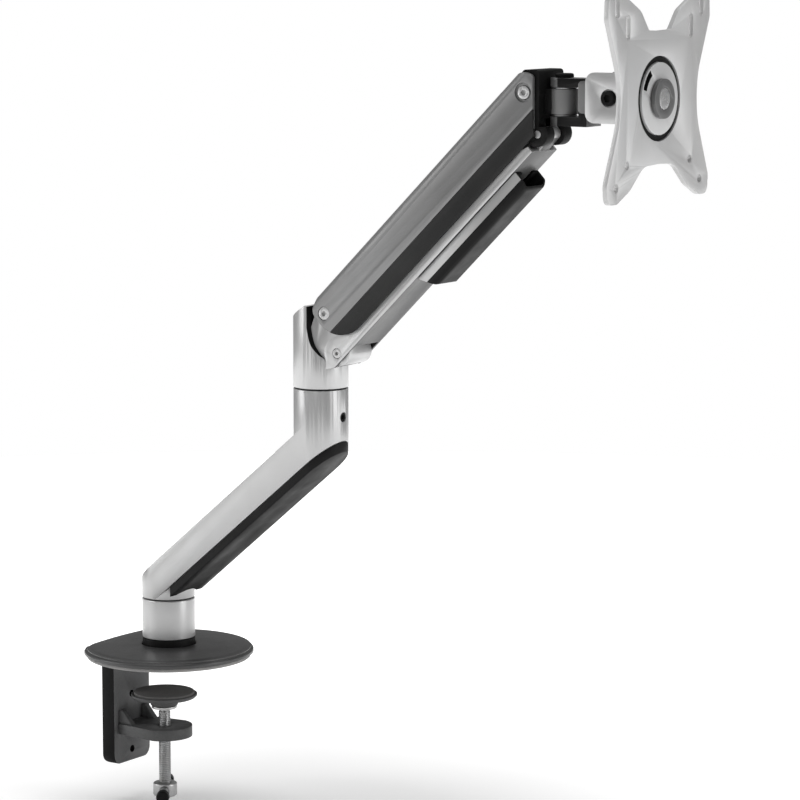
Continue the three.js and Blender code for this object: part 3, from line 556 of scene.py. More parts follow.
HEAD_PLASTIC = moulded_plastic("black moulding, head", 0.005, 0.5, grain=1200)
CLIP_PLASTIC = moulded_plastic("black moulding, clip", 0.005, 0.46, grain=1700, depth=0.2)
PAD_GREY = soft_rubber("grey desk pad", 0.26)
RUBBER = soft_rubber("black rubber", 0.008)
PRESS_RUBBER = soft_rubber("grey rubber, press pad", 0.12)
ZINC = plated_steel("zinc plate", 0.50, 0.34)
ZINC_SIDE = plated_steel("zinc plate, cross pins", 0.48, 0.34, (1, 40, 1))
POLISHED = plated_steel("polished steel", 0.92, 0.22, (40, 1, 1), warm=0.004)
SPRING = plated_steel("spring steel", 0.16, 0.38, (1, 1, 1))


# ---- base and clamp ----------------------------------------------------------
def base_outline(r, back):
    a = math.degrees(math.acos(back / r))
    return arc(0, 0, r, -a, a, 120)


def build_base():
    pad = prism(base_outline(BASE_R - 2, BASE_BACK + 0.4), 0, 2.2)
    cut(pad, block(-60, -31.7, -19.4, 19.4, -1, 4))
    piece(pad, "desk_pad", PAD_GREY, 0.4)

    plate = prism(base_outline(BASE_R - 2.1, BASE_BACK + 0.3), 2.5, 6.3)
    for y in (-BOLT_Y, BOLT_Y):
        cut(plate, rod(2.9, 2, 7, at=(BOLT_X, y), steps=32), rod(5.6, 3.9, 7, at=(BOLT_X, y), steps=40))
    piece(plate, "base_plate", BLACK_STEEL, 0.35)

    r = BASE_R
    shell = rounded([
        (17.9, 6.6, 0.2), (r - 1.7, 6.6, 0.2), (r - 1.7, 2.6, 0.3), (r, 2.6, 0.3), (r, 5.0, 1.5),
        (r - 5, 7.3, 8), (36, 8.3, 30), (18.6, 8.7, 0.4), (17.9, 8.3, 0.3),
    ], steps=8)
    cover = lathe(shell, 160)
    cut(cover, block(-60, BASE_BACK, -60, 60, 0, 14))
    piece(cover, "base_cover", DARK_GREY, 0.4, angle=35)

    ring = rounded([(10.4, 6.6), (17.4, 6.6, 0.3), (17.4, 13.1, 0.6), (10.4, 13.1)], steps=4)
    piece(lathe(ring, 128), "post_foot_ring", BLACK_PLASTIC, 0)
    post = rounded([
        (10.4, 13.4), (POST_R, 13.4, 0.5), (POST_R, JOINT_Z - 0.4, 0.8), (10.4, JOINT_Z - 0.4),
    ], steps=5)
    piece(lathe(post, 128), "base_post", SILVER, 0)


def hex_socket(r, low, high, axis="Z", at=(0, 0)):
    return rod(r, low, high, axis, at, 6)


def build_clamp():
    side = rounded([(-42, 2.2, 0.6), (-42, -76, 3.5), (-32, -76, 1.2), (-32, 2.2, 0.6)], steps=6)
    front = rounded([(-19, 2.2, 0.5), (-19, -76, 7), (19, -76, 7), (19, 2.2, 0.5)], steps=10)
    bracket = prism(side, -19, 19, "Y")
    keep(bracket, prism(front, -43, -31, "X"))
    for y in (-BOLT_Y, BOLT_Y):
        cut(bracket, rod(2.9, -16, 3, at=(BOLT_X, y), steps=32), rod(2.9, -43, -31, "X", (y, JAW_Z), 32))
        cut(bracket, rod(5, -43, -38, "X", (y, JAW_Z), 40))
    for z in (-30, -68):
        cut(bracket, rod(2.4, -43, -31, "X", (0, z), 32))
    piece(bracket, "clamp_bracket", BLACK_STEEL, 0.45)
    # Faces turned to +X get the lighter grey: painted light on the bracket's front.
    second_finish_or_painted_light(bracket, BRACKET_PAINTED_LIGHT, lambda c, n: n.x > 0.6 and c.x > -33)

    for node, y in (("bracket_screw_left", BOLT_Y), ("bracket_screw_right", -BOLT_Y)):
        low, top = -13, 6.1
        screw = lathe(rounded([
            (0, low), (2.3, low, 0.2), (2.6, low + 0.8), (2.6, top - 2.2, 0.3), (5.2, top - 0.3, 0.15),
            (5.2, top, 0.15), (0, top),
        ], steps=3), 48)
        cut(screw, hex_socket(1.8, top - 1.6, top + 1))
        piece(shift(screw, BOLT_X, y), node, ZINC, 0.12)

    half = 3.5
    plan = [(-31.7, -15)] + arc(CLAMP_X, 0, 18.5, -78, 78, 60) + [(-31.7, 15)]
    jaw = prism(plan, JAW_Z - half, JAW_Z + half)
    z = JAW_Z + half
    gusset = rounded([(-31.7, z - 1), (-31.7, z + 9, 0.8), (-29, z + 9, 1.5), (-20, z - 1)], steps=5)
    for y in (-12, 12):
        join(jaw, prism(gusset, y - 2, y + 2, "Y"))
    cut(jaw, rod(4.5, JAW_Z - 9, JAW_Z + 9, at=(CLAMP_X, 0), steps=48))
    for y in (-BOLT_Y, BOLT_Y):
        cut(jaw, rod(2.9, -33, -19, "X", (y, JAW_Z), 32))
    piece(jaw, "clamp_jaw", JAW_STEEL, 0.7)

    for node, y in (("jaw_screw_left", BOLT_Y), ("jaw_screw_right", -BOLT_Y)):
        screw = lathe(rounded([
            (0, -18), (2.1, -18, 0.3), (2.6, -17.2), (2.6, 0), (4.6, 0, 0.2), (4.6, 3.6, 0.5), (0, 3.6),
        ], steps=4), 48)
        cut(screw, hex_socket(2, 1.6, 5))
        screw.data.transform(Matrix.Rotation(-math.pi / 2, 4, "Y"))
        piece(shift(screw, -38.3, y, JAW_Z), node, ZINC_SIDE, 0.12)


def helix_rod(low, high, r_top, r_root, pitch):
    """A rod with a true helical thread, plain at both ends."""
    seg, rings_per_turn = 48, 6
    bm = bmesh.new()
    rows = []
    count = int((high - low) / pitch * rings_per_turn)
    for i in range(count + 1):
        z = low + (high - low) * i / count
        ring = []
        for k in range(seg):
            a = 2 * math.pi * k / seg
            phase = (z / pitch - k / seg) % 1.0
            ridge = max(0.0, min(1.0, 1.9 - abs(phase - 0.5) * 4.6))
            fade = max(0.0, min(1.0, (z - low) / 1.6, (high - z) / 1.6))
            r = r_root + (r_top - r_root) * ridge * fade
            ring.append(bm.verts.new(Vector((r * math.cos(a), r * math.sin(a), z)) * MM))
        rows.append(ring)
    for a, b in zip(rows, rows[1:]):
        for k in range(seg):
            bm.faces.new((a[k], a[(k + 1) % seg], b[(k + 1) % seg], b[k]))
    bm.faces.new(rows[0][::-1])
    bm.faces.new(rows[-1])
    return made(bm)


def build_clamp_screw():
    dish = rounded([
        (0, -29.9), (5.2, -29.9, 0.2), (5.2, -34.2, 0.2), (9, -34.2, 0.6), (9.6, -31.2, 1.2),
        (20.5, -29, 1), (22, -27.6, 0.5), (22, -26.4, 0.4), (20.6, -26.4, 0.3), (20.6, -27.4, 0.2),
        (0, -27.4),
    ], steps=5)
    piece(shift(lathe(dish, 128), CLAMP_X), "press_plate", JAW_STEEL, 0)
    pad = rounded([(0, -27.1), (20.2, -27.1, 0.3), (20.2, -24.8, 0.7), (0, -24.8)], steps=5)
    piece(shift(lathe(pad, 96), CLAMP_X), "press_pad", PRESS_RUBBER, 0)
    clip = rounded([(3.9, -36.2, 0.3), (8.4, -36.2, 0.4), (8.4, -34.5, 0.4), (3.9, -34.5, 0.3)], steps=3)
    piece(shift(lathe(clip, 64), CLAMP_X), "press_retainer", ZINC, 0)

    turn = Matrix.Rotation(HANDLE_TURN, 4, "Z")
    screw = helix_rod(-98, -37.4, 4.0, 3.35, 1.25)
    tip = lathe(rounded([
        (0, -38), (2.9, -38), (2.9, -34.4, 0.3), (4.6, -33.8, 0.3), (4.6, -31.4, 0.4),
        (3.2, -30.3, 0.5), (0, -30.3),
    ], steps=3), 48)
    join(screw, tip)
    cut(screw, rod(3.2, -6, 6, "Y", (0, BAR_Z), 32))
    hub = lathe(rounded([
        (4.3, -96), (8, -96, 1.2), (8, -87, 1.2), (4.3, -87),
    ], steps=5), 72)
    cut(hub, rod(3.2, -10, 10, "Y", (0, BAR_Z), 32))
    bar = lathe(rounded([(0, -24), (2.9, -24, 0.4), (2.9, 24, 0.4), (0, 24)], steps=3), 48)
    bar.data.transform(Matrix.Rotation(math.pi / 2, 4, "X"))
    shift(bar, 0, 0, BAR_Z)
    parts = [
        (screw, "clamp_screw", ZINC, 0), (hub, "handle_hub", ZINC, 0.25), (bar, "handle_bar", ZINC_SIDE, 0),
    ]
    for node, sign in (("bar_cap_near", 1), ("bar_cap_far", -1)):
        cap = lathe(rounded([
            (0, 24.3), (3.2, 24.3), (3.2, 19.5, 0.2), (4.3, 19.5, 0.6), (4.3, 26.6, 1.5), (0, 26.6),
        ], steps=5), 56)
        cap.data.transform(Matrix.Rotation(sign * math.pi / 2, 4, "X"))
        parts.append((shift(cap, 0, 0, BAR_Z), node, BLACK_PLASTIC, 0))
    for obj, node, finish, bevel in parts:
        obj.data.transform(turn)
        piece(shift(obj, CLAMP_X), node, finish, bevel, angle=50)


# ---- lower arm -----------------------------------------------------------------
TAN = math.tan(LOWER_PITCH)
COS = math.cos(LOWER_PITCH)


def top_at(x):
    return LOWER_TOP + TAN * x


def under_at(x):
    return LOWER_TOP - LOWER_DEEP / COS + TAN * x


def cover_at(x):
    return under_at(x) - COVER_DEEP / COS


def build_lower_arm():
    low, top = JOINT_Z + 0.6, ELBOW_Z - 0.4
    edge = ELBOW_X - POST_R
    nose = top_at(-POST_R + 2)
    beam = rounded([
        (-POST_R - 1, under_at(-POST_R - 1)), (edge + 50, under_at(edge + 50)),
        (edge + 50, top_at(edge + 50)), (-POST_R + 2, nose, 7), (-POST_R - 1, nose - 5),
    ], steps=8)
    outline = stadium(POST_R, 0, ELBOW_X, 48)
    body = prism(beam, -POST_R - 2, POST_R + 2, "Y")
    keep(body, prism(outline, low, 260))
    below = rounded([
        (-30, 0), (60, 0), (60, top_at(60)), (-POST_R + 2, nose, 7), (-POST_R - 1, nose - 5), (-30, 30),
    ], steps=8)
    foot = prism(post_circle(0), low, 110)
    keep(foot, prism(below, -20, 20, "Y"))
    above = [(90, under_at(90)), (160, under_at(160)), (160, 260), (90, 260)]
    post = prism(post_circle(ELBOW_X), 90, top)
    keep(post, prism(above, -20, 20, "Y"))
    join(body, foot, post)
    pocket = [
        (POST_R + 5, under_at(POST_R + 5) - 3), (ELBOW_X - 13, under_at(ELBOW_X - 13) - 3),
        (ELBOW_X - 13, top_at(ELBOW_X - 13) - 2.6 / COS), (POST_R + 5, top_at(POST_R + 5) - 2.6 / COS),
    ]
    cut(body, prism(pocket, -POST_R + 2.6, POST_R - 2.6, "Y"))
    cut(body, rod(12.4, low - 1, 50, steps=64), rod(8.3, 152, ELBOW_Z + 2, at=(ELBOW_X, 0), steps=64))
    cut(body, rod(3.3, ELBOW_X + 13, ELBOW_X + 20, "X", (0, 171), 40))
    piece(body, "lower_arm", SILVER_ARM, 0.7, angle=24, segments=3)

    a, b = POST_R - 3, ELBOW_X + POST_R + 1
    gap = 0.3 / COS
    slab = [(a, under_at(a) - gap), (a, cover_at(a)), (b, cover_at(b)), (b, under_at(b) - gap)]
    lid = prism(slab, -POST_R, POST_R, "Y")
    keep(lid, prism(stadium(POST_R - 0.2, 0, ELBOW_X, 48), 0, 260))
    cut(lid, prism(post_circle(0, POST_R + 0.4), 20, 80))
    a, b = POST_R + 4, ELBOW_X - 12
    hollow = [
        (a, under_at(a) + 2), (a, cover_at(a) + 2 / COS), (b, cover_at(b) + 2 / COS), (b, under_at(b) + 2),
    ]
    cut(lid, prism(hollow, -POST_R + 2.4, POST_R - 2.4, "Y"))
    piece(lid, "lower_cable_cover", BLACK_PLASTIC, 1.5, angle=24, segments=4)

    ring = [(10.4, JOINT_Z - 0.1), (16.7, JOINT_Z - 0.1), (16.7, JOINT_Z + 0.3), (10.4, JOINT_Z + 0.3)]
    piece(lathe(ring, 96), "base_washer", BLACK_PLASTIC, 0)
    plug = rod(3, -3.9, -0.6, "X", steps=40)
    cut(plug, hex_socket(1.6, -2.2, 1, "X"))
    piece(shift(plug, ELBOW_X + POST_R, 0, 171), "elbow_set_screw", BLACK_STEEL, 0.2)


# ---- elbow head -----------------------------------------------------------------
def build_elbow():
    low = ELBOW_Z + 0.8
    left = ELBOW_X - POST_R
    right = ELBOW_X + POST_R

    def slope(x):
        return 195.4 + 0.8 * (x - ELBOW_X)

    def crest(x):
        return 232.2 + 0.611 * (x - left)

    profile = [
        (left - 1, low), (right + 1, low), (right + 1, slope(right + 1)), (141.2, 208.6), (136, 210.2),
        (130.5, 214.4), (127.4, 219.8), (125.6, 226), (125.2, 230), (125.2, crest(125.2)),
        (left - 1, crest(left - 1)),
    ]
    smooth = rounded(profile[:4] + [
        (134.6, 209.4, 14), (127.6, 217.6, 16), (125.2, 228, 16), (125.2, crest(125.2), 1.2),
        (left + 2.6, crest(left + 2.6), 5), (left - 1, crest(left - 1) - 4),
    ], steps=8)
    body = prism(smooth, -POST_R - 2, POST_R + 2, "Y")
    keep(body, prism(post_circle(ELBOW_X), 100, 300))
    for y0 in (-19, 12.4):
        cut(body, rod(11.9, y0, y0 + 6.6, "Y", PIVOT_B, 96))
    tongue = hull([(*PIVOT_A, 9), (*PIVOT_B, 8.2), (124, 214, 4), (134, 205, 3)])
    join(body, prism(tongue, -12.3, 12.3, "Y"))
    cut(body, rod(4.05, -13, 13, "Y", PIVOT_A, 48), rod(3.05, -13, 13, "Y", PIVOT_B, 48))
    cut(body, rod(9.7, low - 1, 224, at=(ELBOW_X, 0), steps=64))
    piece(body, "elbow_head", SILVER, 0.6, angle=26)

    # Faces inside the fork, round the lower pin's recess and turned toward the link are made black: painted
    # shade in the gap between head and link.
    def inner(c, n):
        outside = math.hypot(c.x - ELBOW_X, c.y) > POST_R - 0.3
        recess = math.hypot(c.x - PIVOT_B[0], c.z - PIVOT_B[1]) < 12.2
        return c.z > 197 and c.x > 125 and not outside and (abs(c.y) < 12.6 or recess or n.x > 0.15)

    second_finish_or_painted_light(body, BLACK_PLASTIC, inner)

    ring = [(8.4, ELBOW_Z - 0.1), (16.7, ELBOW_Z - 0.1), (16.7, ELBOW_Z + 0.5), (8.4, ELBOW_Z + 0.5)]
    piece(shift(lathe(ring, 96), ELBOW_X), "elbow_washer", BLACK_PLASTIC, 0)
    for node, at, r, half in (("elbow_pin_upper", PIVOT_A, 4, 17.2), ("elbow_pin_lower", PIVOT_B, 3, 14.5)):
        pin = rod(r, -half, half, "Y", at, 56)
        for low_end, high_end in ((-half - 1, -half + 1.4), (half - 1.4, half + 1)):
            cut(pin, hex_socket(r * 0.42, low_end, high_end, "Y", at))
        piece(pin, node, SILVER, 0.35)


# ---- upper arm --------------------------------------------------------------------
def build_upper_arm():
    def chop(v):
        return LINK_LEN + (6.6 + v * math.sin(PITCH)) / math.cos(PITCH)

    outline = (
        arc(0.5, 2.4, 7.2, 180, 107, 14) + [(3, 12)] + arc(LINK_LEN, 0, 12, 90, 20, 22)
        + [(chop(2), 2), (chop(HOUSE_LOW), HOUSE_LOW)] + arc(13.3, HOUSE_LOW + 20, 20, 270, 180, 28)
    )
    flank = [(17.5, -9), (17.42, -12.5), (17.25, -16), (16.9, -19.5), (16.4, HOUSE_LOW - 0.5)]
    roof = arc(12.3, 6.8, 5.2, 90, 0, 10)
    half = roof + [(17.5, 3)] + flank
    section = half + [(-y, z) for y, z in half[::-1]]
    x0, x1 = -60, LINK_LEN + 60
    walls = prism(outline, -19, 19, "Y")
    keep(walls, prism(section, x0, x1, "X"))
    roof_in = arc(11.6, 6.5, 3.3, 90, 0, 6)
    room = roof_in + [(HOUSE_IN, -40)]
    room = room + [(-y, z) for y, z in room[::-1]]
    cut(walls, prism(room, x0, x1, "X"))
    cut(walls, block(-30, -3.5, -HOUSE_IN, HOUSE_IN, -40, 30))
    cut(walls, block(LINK_LEN - 13, x1, -HOUSE_IN, HOUSE_IN, -60, 30))
    lip_out, lip_low = HOUSE_IN + 0.6, HOUSE_LOW + 3

    skirts = {}
    for node, y0, y1 in (("skirt_near", -20, 0), ("skirt_far", 0, 20)):
        skirt = walls.copy()
        skirt.data = walls.data.copy()
        bpy.context.scene.collection.objects.link(skirt)
        keep(skirt, block(x0, x1, y0, y1, HOUSE_LOW - 2, SKIRT_TOP - 0.3))
        cut(skirt, block(x0, x1, -lip_out - 0.3, lip_out + 0.3, lip_low - 0.3, SKIRT_TOP + 5))
        skirts[node] = skirt

    for y0, y1 in ((-20, -lip_out), (lip_out, 20)):
        cut(walls, block(x0, x1, y0, y1, HOUSE_LOW - 2, SKIRT_TOP))
    cut(walls, block(x0, x1, -20, 20, HOUSE_LOW - 2, lip_low))
    cut(walls, rod(4.3, -20, 20, "Y", (0, 0), 56), rod(4.3, -20, 20, "Y", (LINK_LEN, 0), 56))
    for y0 in (-18, 16.2):
        cut(walls, rod(5.9, y0, y0 + 1.8, "Y", (LINK_LEN, 0), 64))
    cut(walls, rod(3, 5, 20, at=(176, 0), steps=40))
    piece(along(walls, PIVOT_A), "upper_housing", COVER_GREY, 0.6, angle=26)
    for node, skirt in skirts.items():
        piece(along(skirt, PIVOT_A), node, SKIRT_PLASTIC, 0.5, angle=26)


def build_link():
    under = -5.2
    profile = arc(0, 0, 9.6, 213, 70, 40) + [(26, 4), (180, 4), (194, -1), (194, under), (10, under)]
    body = prism(profile, -14.6, 14.6, "Y")
    cut(body, block(-20, 220, -12.6, 12.6, under + 2.2, 20), block(-20, 13, -12.6, 12.6, -20, 20))
    nose = prism(
        [(180, under), (LINK_LEN, -4.6)] + arc(LINK_LEN, 0, 4.6, -80, 90, 20)
        + [(LINK_LEN - 8, 4.2), (180, 3.4)],
        -5.5, 5.5, "Y",
    )
    join(body, nose)
    cut(body, rod(3.3, -20, -10.5, "Y", (0, 0), 48), rod(3.3, 10.5, 20, "Y", (0, 0), 48))
    cut(body, rod(2.6, -20, 20, "Y", (LINK_LEN, 0), 40), rod(1.9, -9, 2, at=(128, 0), steps=32))
    piece(along(body, PIVOT_B), "lower_link", LINK_SILVER, 0.6, angle=26)

    # The link's downward faces get the darker grey: painted shade.
    def painted_shade_underside(c, n):
        return n.z < -0.55 and n.x > 0.4 and abs(c.y) < 13.9

    # The link's inner walls near the elbow are made black: painted shade inside the channel.
    def painted_shade_inner_walls(c, n):
        return abs(c.y) < 12.8 and abs(n.y) > 0.5 and c.x < PIVOT_B[0] + 40

    second_finish_or_painted_light(body, LINK_SHADE, painted_shade_underside)
    second_finish_or_painted_light(body, BLACK_PLASTIC, painted_shade_inner_walls)

    x0, x1 = 78, 176
    deep = 12.2
    side = rounded([
        (x0, under - 0.3, 0.4), (x0 + deep * 0.6, under - deep, 4), (x1 - 3, under - deep, 3),
        (x1, under - deep + 4, 3), (x1, under - 0.3, 0.4),
    ], steps=8)
    clip = prism(side, -13, 13, "Y")
    keep(clip, prism(rounded([
        (-13, under + 1), (-13, under - deep, 5), (13, under - deep, 5), (13, under + 1),
    ], steps=10), x0 - 5, x1 + 5, "X"))
    cut(clip, prism(rounded([
        (-11.4, under - 1.9, 0.3), (-11.4, under - 10.6, 3.6), (11.4, under - 10.6, 3.6),
        (11.4, under - 1.9, 0.3),
    ], steps=8), x0 - 5, x1 + 5, "X"))
    for start, end in ((x0 - 5, 121), (135, x1 + 5)):
        cut(clip, block(start, end, -6.4, 6.4, under - 3, under + 1))
    cut(clip, rod(2.1, under - 4, under + 1, at=(128, 0), steps=32))
    # The clip's sides get a silver band along their top: painted highlight along the clip's upper edge.
    band = 6.2
    scored(clip, under - band)
    piece(along(clip, PIVOT_B), "cable_clip", CLIP_PLASTIC, 0.35, angle=30)

    # Side faces in that top band: painted highlight.
    def painted_highlight_band(c, n):
        deep_at = -(c.x - PIVOT_B[0]) * math.sin(PITCH) + (c.z - PIVOT_B[1]) * math.cos(PITCH)
        return deep_at > under - band and abs(n.y) > 0.7 and abs(c.y) > 12.2

    second_finish_or_painted_light(clip, LINK_SILVER, painted_highlight_band)
    screw = lathe(rounded([
        (0, -3.9), (3.6, -3.9, 0.3), (3.6, -2.2, 0.8), (1.7, -2.1), (1.7, 3.6, 0.3), (0, 3.6),
    ], steps=4), 48)
    piece(along(shift(screw, 128, 0, under), PIVOT_B), "clip_screw", ZINC, 0)


# ---- head ---------------------------------------------------------------------------
def build_head():
    ax, az = HEAD_A
    bx, bz = HEAD_B
    front = 293.6
    back = ax - 3
    crown = az + 13.6
    body = rod(9.4, -14.4, 14.4, "Y", (ax, az), 80)
    join(body, prism(rounded([
        (ax + 1.2, 362), (front, 362), (front, crown, 2.2), (back, crown, 3.0), (back, az + 6, 1),
        (ax + 1.2, az),
    ], steps=6), -14.4, 14.4, "Y"))
    cheek = prism(hull([(bx, bz, 7.4), (ax + 4, 368, 2.6), (front - 2.6, 368, 2.6)]), -14.4, 14.4, "Y")
    cut(cheek, block(front, 330, -20, 20, 360.3, 400))
    join(body, cheek)
    cut(body, rod(9.4, -6, 6, "Y", (bx, bz), 72))
    cut(body, prism([
        (bx + 4, bz + 8.6), (bx - 5, bz + 9), (bx - 12, bz + 12), (bx - 30, bz - 6), (bx - 8, bz - 24),
        (bx + 6, bz - 8),
    ], -6, 6, "Y"))
    join(body, rod(6, 367.5, 382.8, at=(SWIVEL_X, 0), steps=80))
    join(body, block(291, SWIVEL_X - 3, -6.4, 6.4, 367.8, 382.5))
    cut(body, rod(3.05, 360, 390, at=(SWIVEL_X, 0), steps=40))
    cut(body, rod(4.05, -20, 20, "Y", (ax, az), 48), rod(2.55, -20, 20, "Y", (bx, bz), 40))
    piece(body, "head_joint", HEAD_PLASTIC, 0.6, angle=30)

    pin = rod(3.95, -17.1, 17.1, "Y", (ax, az), 56)
    cut(pin, hex_socket(1.9, -18, -15.6, "Y", (ax, az)), hex_socket(1.9, 15.6, 18, "Y", (ax, az)))
    piece(pin, "head_pin_upper", SILVER, 0.5)
    piece(rod(2.45, -14.2, 14.2, "Y", (bx, bz), 40), "head_pin_lower", ZINC_SIDE, 0.3)

    sleeve = lathe(rounded([
        (6.3, 367.5), (8.3, 367.5, 0.5), (8.3, 382.8, 0.5), (6.3, 382.8),
    ], steps=4), 96)
    cut(sleeve, block(-20, -2.7, -6.7, 6.7, 360, 390))
    piece(shift(sleeve, SWIVEL_X), "swivel_sleeve", SLEEVE_GREY, 0.15, angle=50)

    bolt = lathe(rounded([
        (0, 361), (2.9, 361, 0.5), (2.9, 389.6), (5.6, 389.6, 0.2), (5.6, 392, 1.2), (0, 392),
    ], steps=5), 56)
    cut(bolt, hex_socket(2, 390.4, 394))
    piece(shift(bolt, SWIVEL_X), "swivel_pin", BLACK_STEEL, 0.12, angle=50)
    nut = hex_socket(5.6, 361.2, 364.2)
    cut(nut, rod(3.2, 350, 368, steps=40))
    piece(shift(nut, SWIVEL_X), "swivel_nut", ZINC, 0.3)
    for node, z0 in (("swivel_washer_low", 366.6), ("swivel_washer_high", 383.1)):
        ring = [(3.2, z0), (7.8, z0), (7.8, z0 + 0.6), (3.2, z0 + 0.6)]
        piece(shift(lathe(rounded(ring, 0.12, 2), 64), SWIVEL_X), node, ZINC, 0)


def build_swivel():
    reach = TILT_X - SWIVEL_X
    a, b = 14.6, 20.4
    plan = arc(0, 0, 8.5, 90, 270, 40) + [(b, -8.5), (b, 8.5)]
    body = prism(plan, 384, 389.3)
    join(body, prism(plan, 360.7, 366.3), block(a, b, -8.5, 8.5, 360.7, 389.3))
    outline = hull([(reach, HEAD_Z, 9.6), (a + 4, HEAD_Z + 7, 2.6), (a + 4, HEAD_Z - 7, 2.6)])
    lug = prism(outline, -11.2, 11.2, "Y")
    keep(lug, block(a + 0.5, 80, -12, 12, 340, 420))
    join(body, lug)
    cut(body, rod(3.2, 350, 400, steps=40), rod(6.1, 350, 364.7, steps=64))
    cut(body, rod(3.05, -20, 20, "Y", (reach, HEAD_Z), 40))
    piece(shift(body, SWIVEL_X), "swivel_bracket", BRACKET_GREY, 0.6, angle=30)

    # The web between the flanges is made black: painted shade between the bracket's flanges.
    def painted_shade_web(c, n):
        return 367.2 < c.z < 383.4 and a - 1 < c.x - SWIVEL_X < b + 1

    second_finish_or_painted_light(body, HEAD_PLASTIC, painted_shade_web)


def build_tilt():
    front = 21
    ear = rounded([(-16, 15, 6), (-16, -15, 6), (front, -15, 0.6), (front, 15, 0.6)], steps=10)
    body = prism(ear, -15, 15, "Y")
    cut(body, block(-30, front - 3, -12.2, 12.2, -20, 20))
    cut(body, rod(3.2, -20, 20, "Y", (0, 0), 48), rod(5.3, -20, -13.8, "Y", (0, 0), 56))
    cut(body, rod(6.2, front - 5, front + 5, "X", (0, 0), 48))
    parts = [(body, "tilt_bracket", SILVER, 0.6)]
    bolt = lathe(rounded([
        (0, -17.6), (2.8, -17.6, 0.6), (2.8, 13.95), (4.6, 13.95, 0.2), (4.6, 16.5, 0.8), (0, 16.5),
    ], steps=5), 56)
    cut(bolt, hex_socket(2.5, 14.9, 18))
    bolt.data.transform(Matrix.Rotation(math.pi / 2, 4, "X"))
    parts.append((bolt, "tilt_bolt", BLACK_STEEL, 0.12))
    nut = hex_socket(5.4, 15.3, 18.6, "Y")
    cut(nut, rod(3.1, 10, 25, "Y", steps=40))
    parts.append((nut, "tilt_nut", ZINC_SIDE, 0.3))
    for node, y0 in (("tilt_washer_near", -11.9), ("tilt_washer_far", 11.5)):
        washer = rod(8, y0, y0 + 0.4, "Y", steps=64)
        cut(washer, rod(3.2, y0 - 1, y0 + 2, "Y", steps=40))
        parts.append((washer, node, ZINC_SIDE, 0.08))

    face = PLATE_X - TILT_X
    disc = rod(21.4, face - 3.3, face + 0.4, "X", steps=128)
    join(disc, rod(28.5, front + 0.3, face - 3.2, "X", steps=128))
    notch = prism(arc(0, 0, 20.6, 163, 124, 24) + arc(0, 0, 16.4, 124, 163, 24), face - 2, face + 3, "X")
    cut(disc, rod(6.2, front - 5, face + 5, "X", steps=48), notch)
    parts.append((disc, "hub_disc", PLATE_SILVER, 0.3))
    collar = rod(11.8, face + 0.7, face + 4, "X", steps=96)
    cut(collar, rod(6.6, face, face + 6, "X", steps=64))
    parts.append((collar, "hub_collar", COLLAR_GREY, 0.7))
    rivet = rod(5.9, front - 3.6, face + 0.6, "X", steps=64)
    join(rivet, rod(6.3, face + 0.5, face + 3.6, "X", steps=64))
    join(rivet, rod(8.6, front - 6.4, front - 3.3, "X", steps=64))
    parts.append((rivet, "hub_rivet", POLISHED, 0.6))
    for obj, node, finish, bevel in parts:
        piece(shift(obj, TILT_X, 0, HEAD_Z), node, finish, bevel, angle=40)

    def slot_floor(c, n):
        turn = math.degrees(math.atan2(c.z - HEAD_Z, c.y))
        away = math.hypot(c.y, c.z - HEAD_Z)
        return -2.5 < c.x - PLATE_X < 0.2 and 16 < away < 20.9 and 122 < turn < 165

    second_finish_or_painted_light(disc, RUBBER, slot_floor)


def plate_outline():
    top = [
        (13, 40.2, 2), (22.6, 51.6, 12), (38, 59, 8), (60, 59, 2.2), (60.6, 47, 6), (46.6, 14, 60),
        (45.4, 0, 40),
    ]
    low = [
        (46.6, -14, 60), (60.8, -48, 8), (59.6, -59.4, 5), (49, -59.4, 6), (34, -52.4, 20), (18, -39.2, 16),
    ]
    right = [(0, 39.8)] + top + low + [(0, -38.4)]
    left = [(-p[0], *p[1:]) for p in right[1:-1][::-1]]
    return rounded(right + left, steps=8)


def build_plate():
    plate = prism(plate_outline(), -3, 0, "X")
    cut(plate, rod(25.2, -10, 5, "X", steps=128))
    for s in (-1, 1):
        for d in (37.5, 50):
            cut(plate, rod(2.6, -10, 5, "X", (s * d, -d), 40))
        cut(plate, prism(hull([(s * 37.5, 37.5, 2.6), (s * 37.5, 47, 2.6)], 40), -10, 5, "X"))
        cut(plate, prism(hull([(s * 50, 50, 2.6), (s * 50, 66, 2.6)], 40), -10, 5, "X"))
    piece(shift(plate, PLATE_X, 0, HEAD_Z), "vesa_plate", PLATE_SILVER, 0.45, angle=40)
    ring = rod(24.8, -2.8, -1, "X", steps=128)
    cut(ring, rod(21.8, -5, 2, "X", steps=128))
    piece(shift(ring, PLATE_X, 0, HEAD_Z), "friction_ring", RUBBER, 0.25)


def dress_hidden():
    """Inner pieces that only show through gaps keep their CAD shape and get a real finish."""
    finishes = {
        "base_shaft": ZINC, "base_bush": BLACK_PLASTIC, "elbow_shaft": ZINC, "elbow_bush": BLACK_PLASTIC,
        "spring_anchor": BLACK_STEEL, "spring_rod": ZINC, "spring_seat": BLACK_STEEL, "lift_spring": SPRING,
    }
    for node, finish in finishes.items():
        mesh = frame["nodes"][node].data
        mesh.materials.clear()
        mesh.materials.append(finish)


build_base()
build_clamp()
build_clamp_screw()
build_lower_arm()
build_elbow()
build_upper_arm()
build_link()
build_head()
build_swivel()
build_tilt()
build_plate()
dress_hidden()


# ---- studio ---------------------------------------------------------------------------
FLOOR_RADIUS = 1.6         # metres
FLOOR_PALE = 0.92          # how pale the paper is
FLOOR_GLOW = (0.12, 0.6)   # metres from its middle over which it fades into the white surround
SURROUND_LIGHT = 0.26      # how much light the white surround gives
SURROUND_SEEN = 1.0        # how white it looks


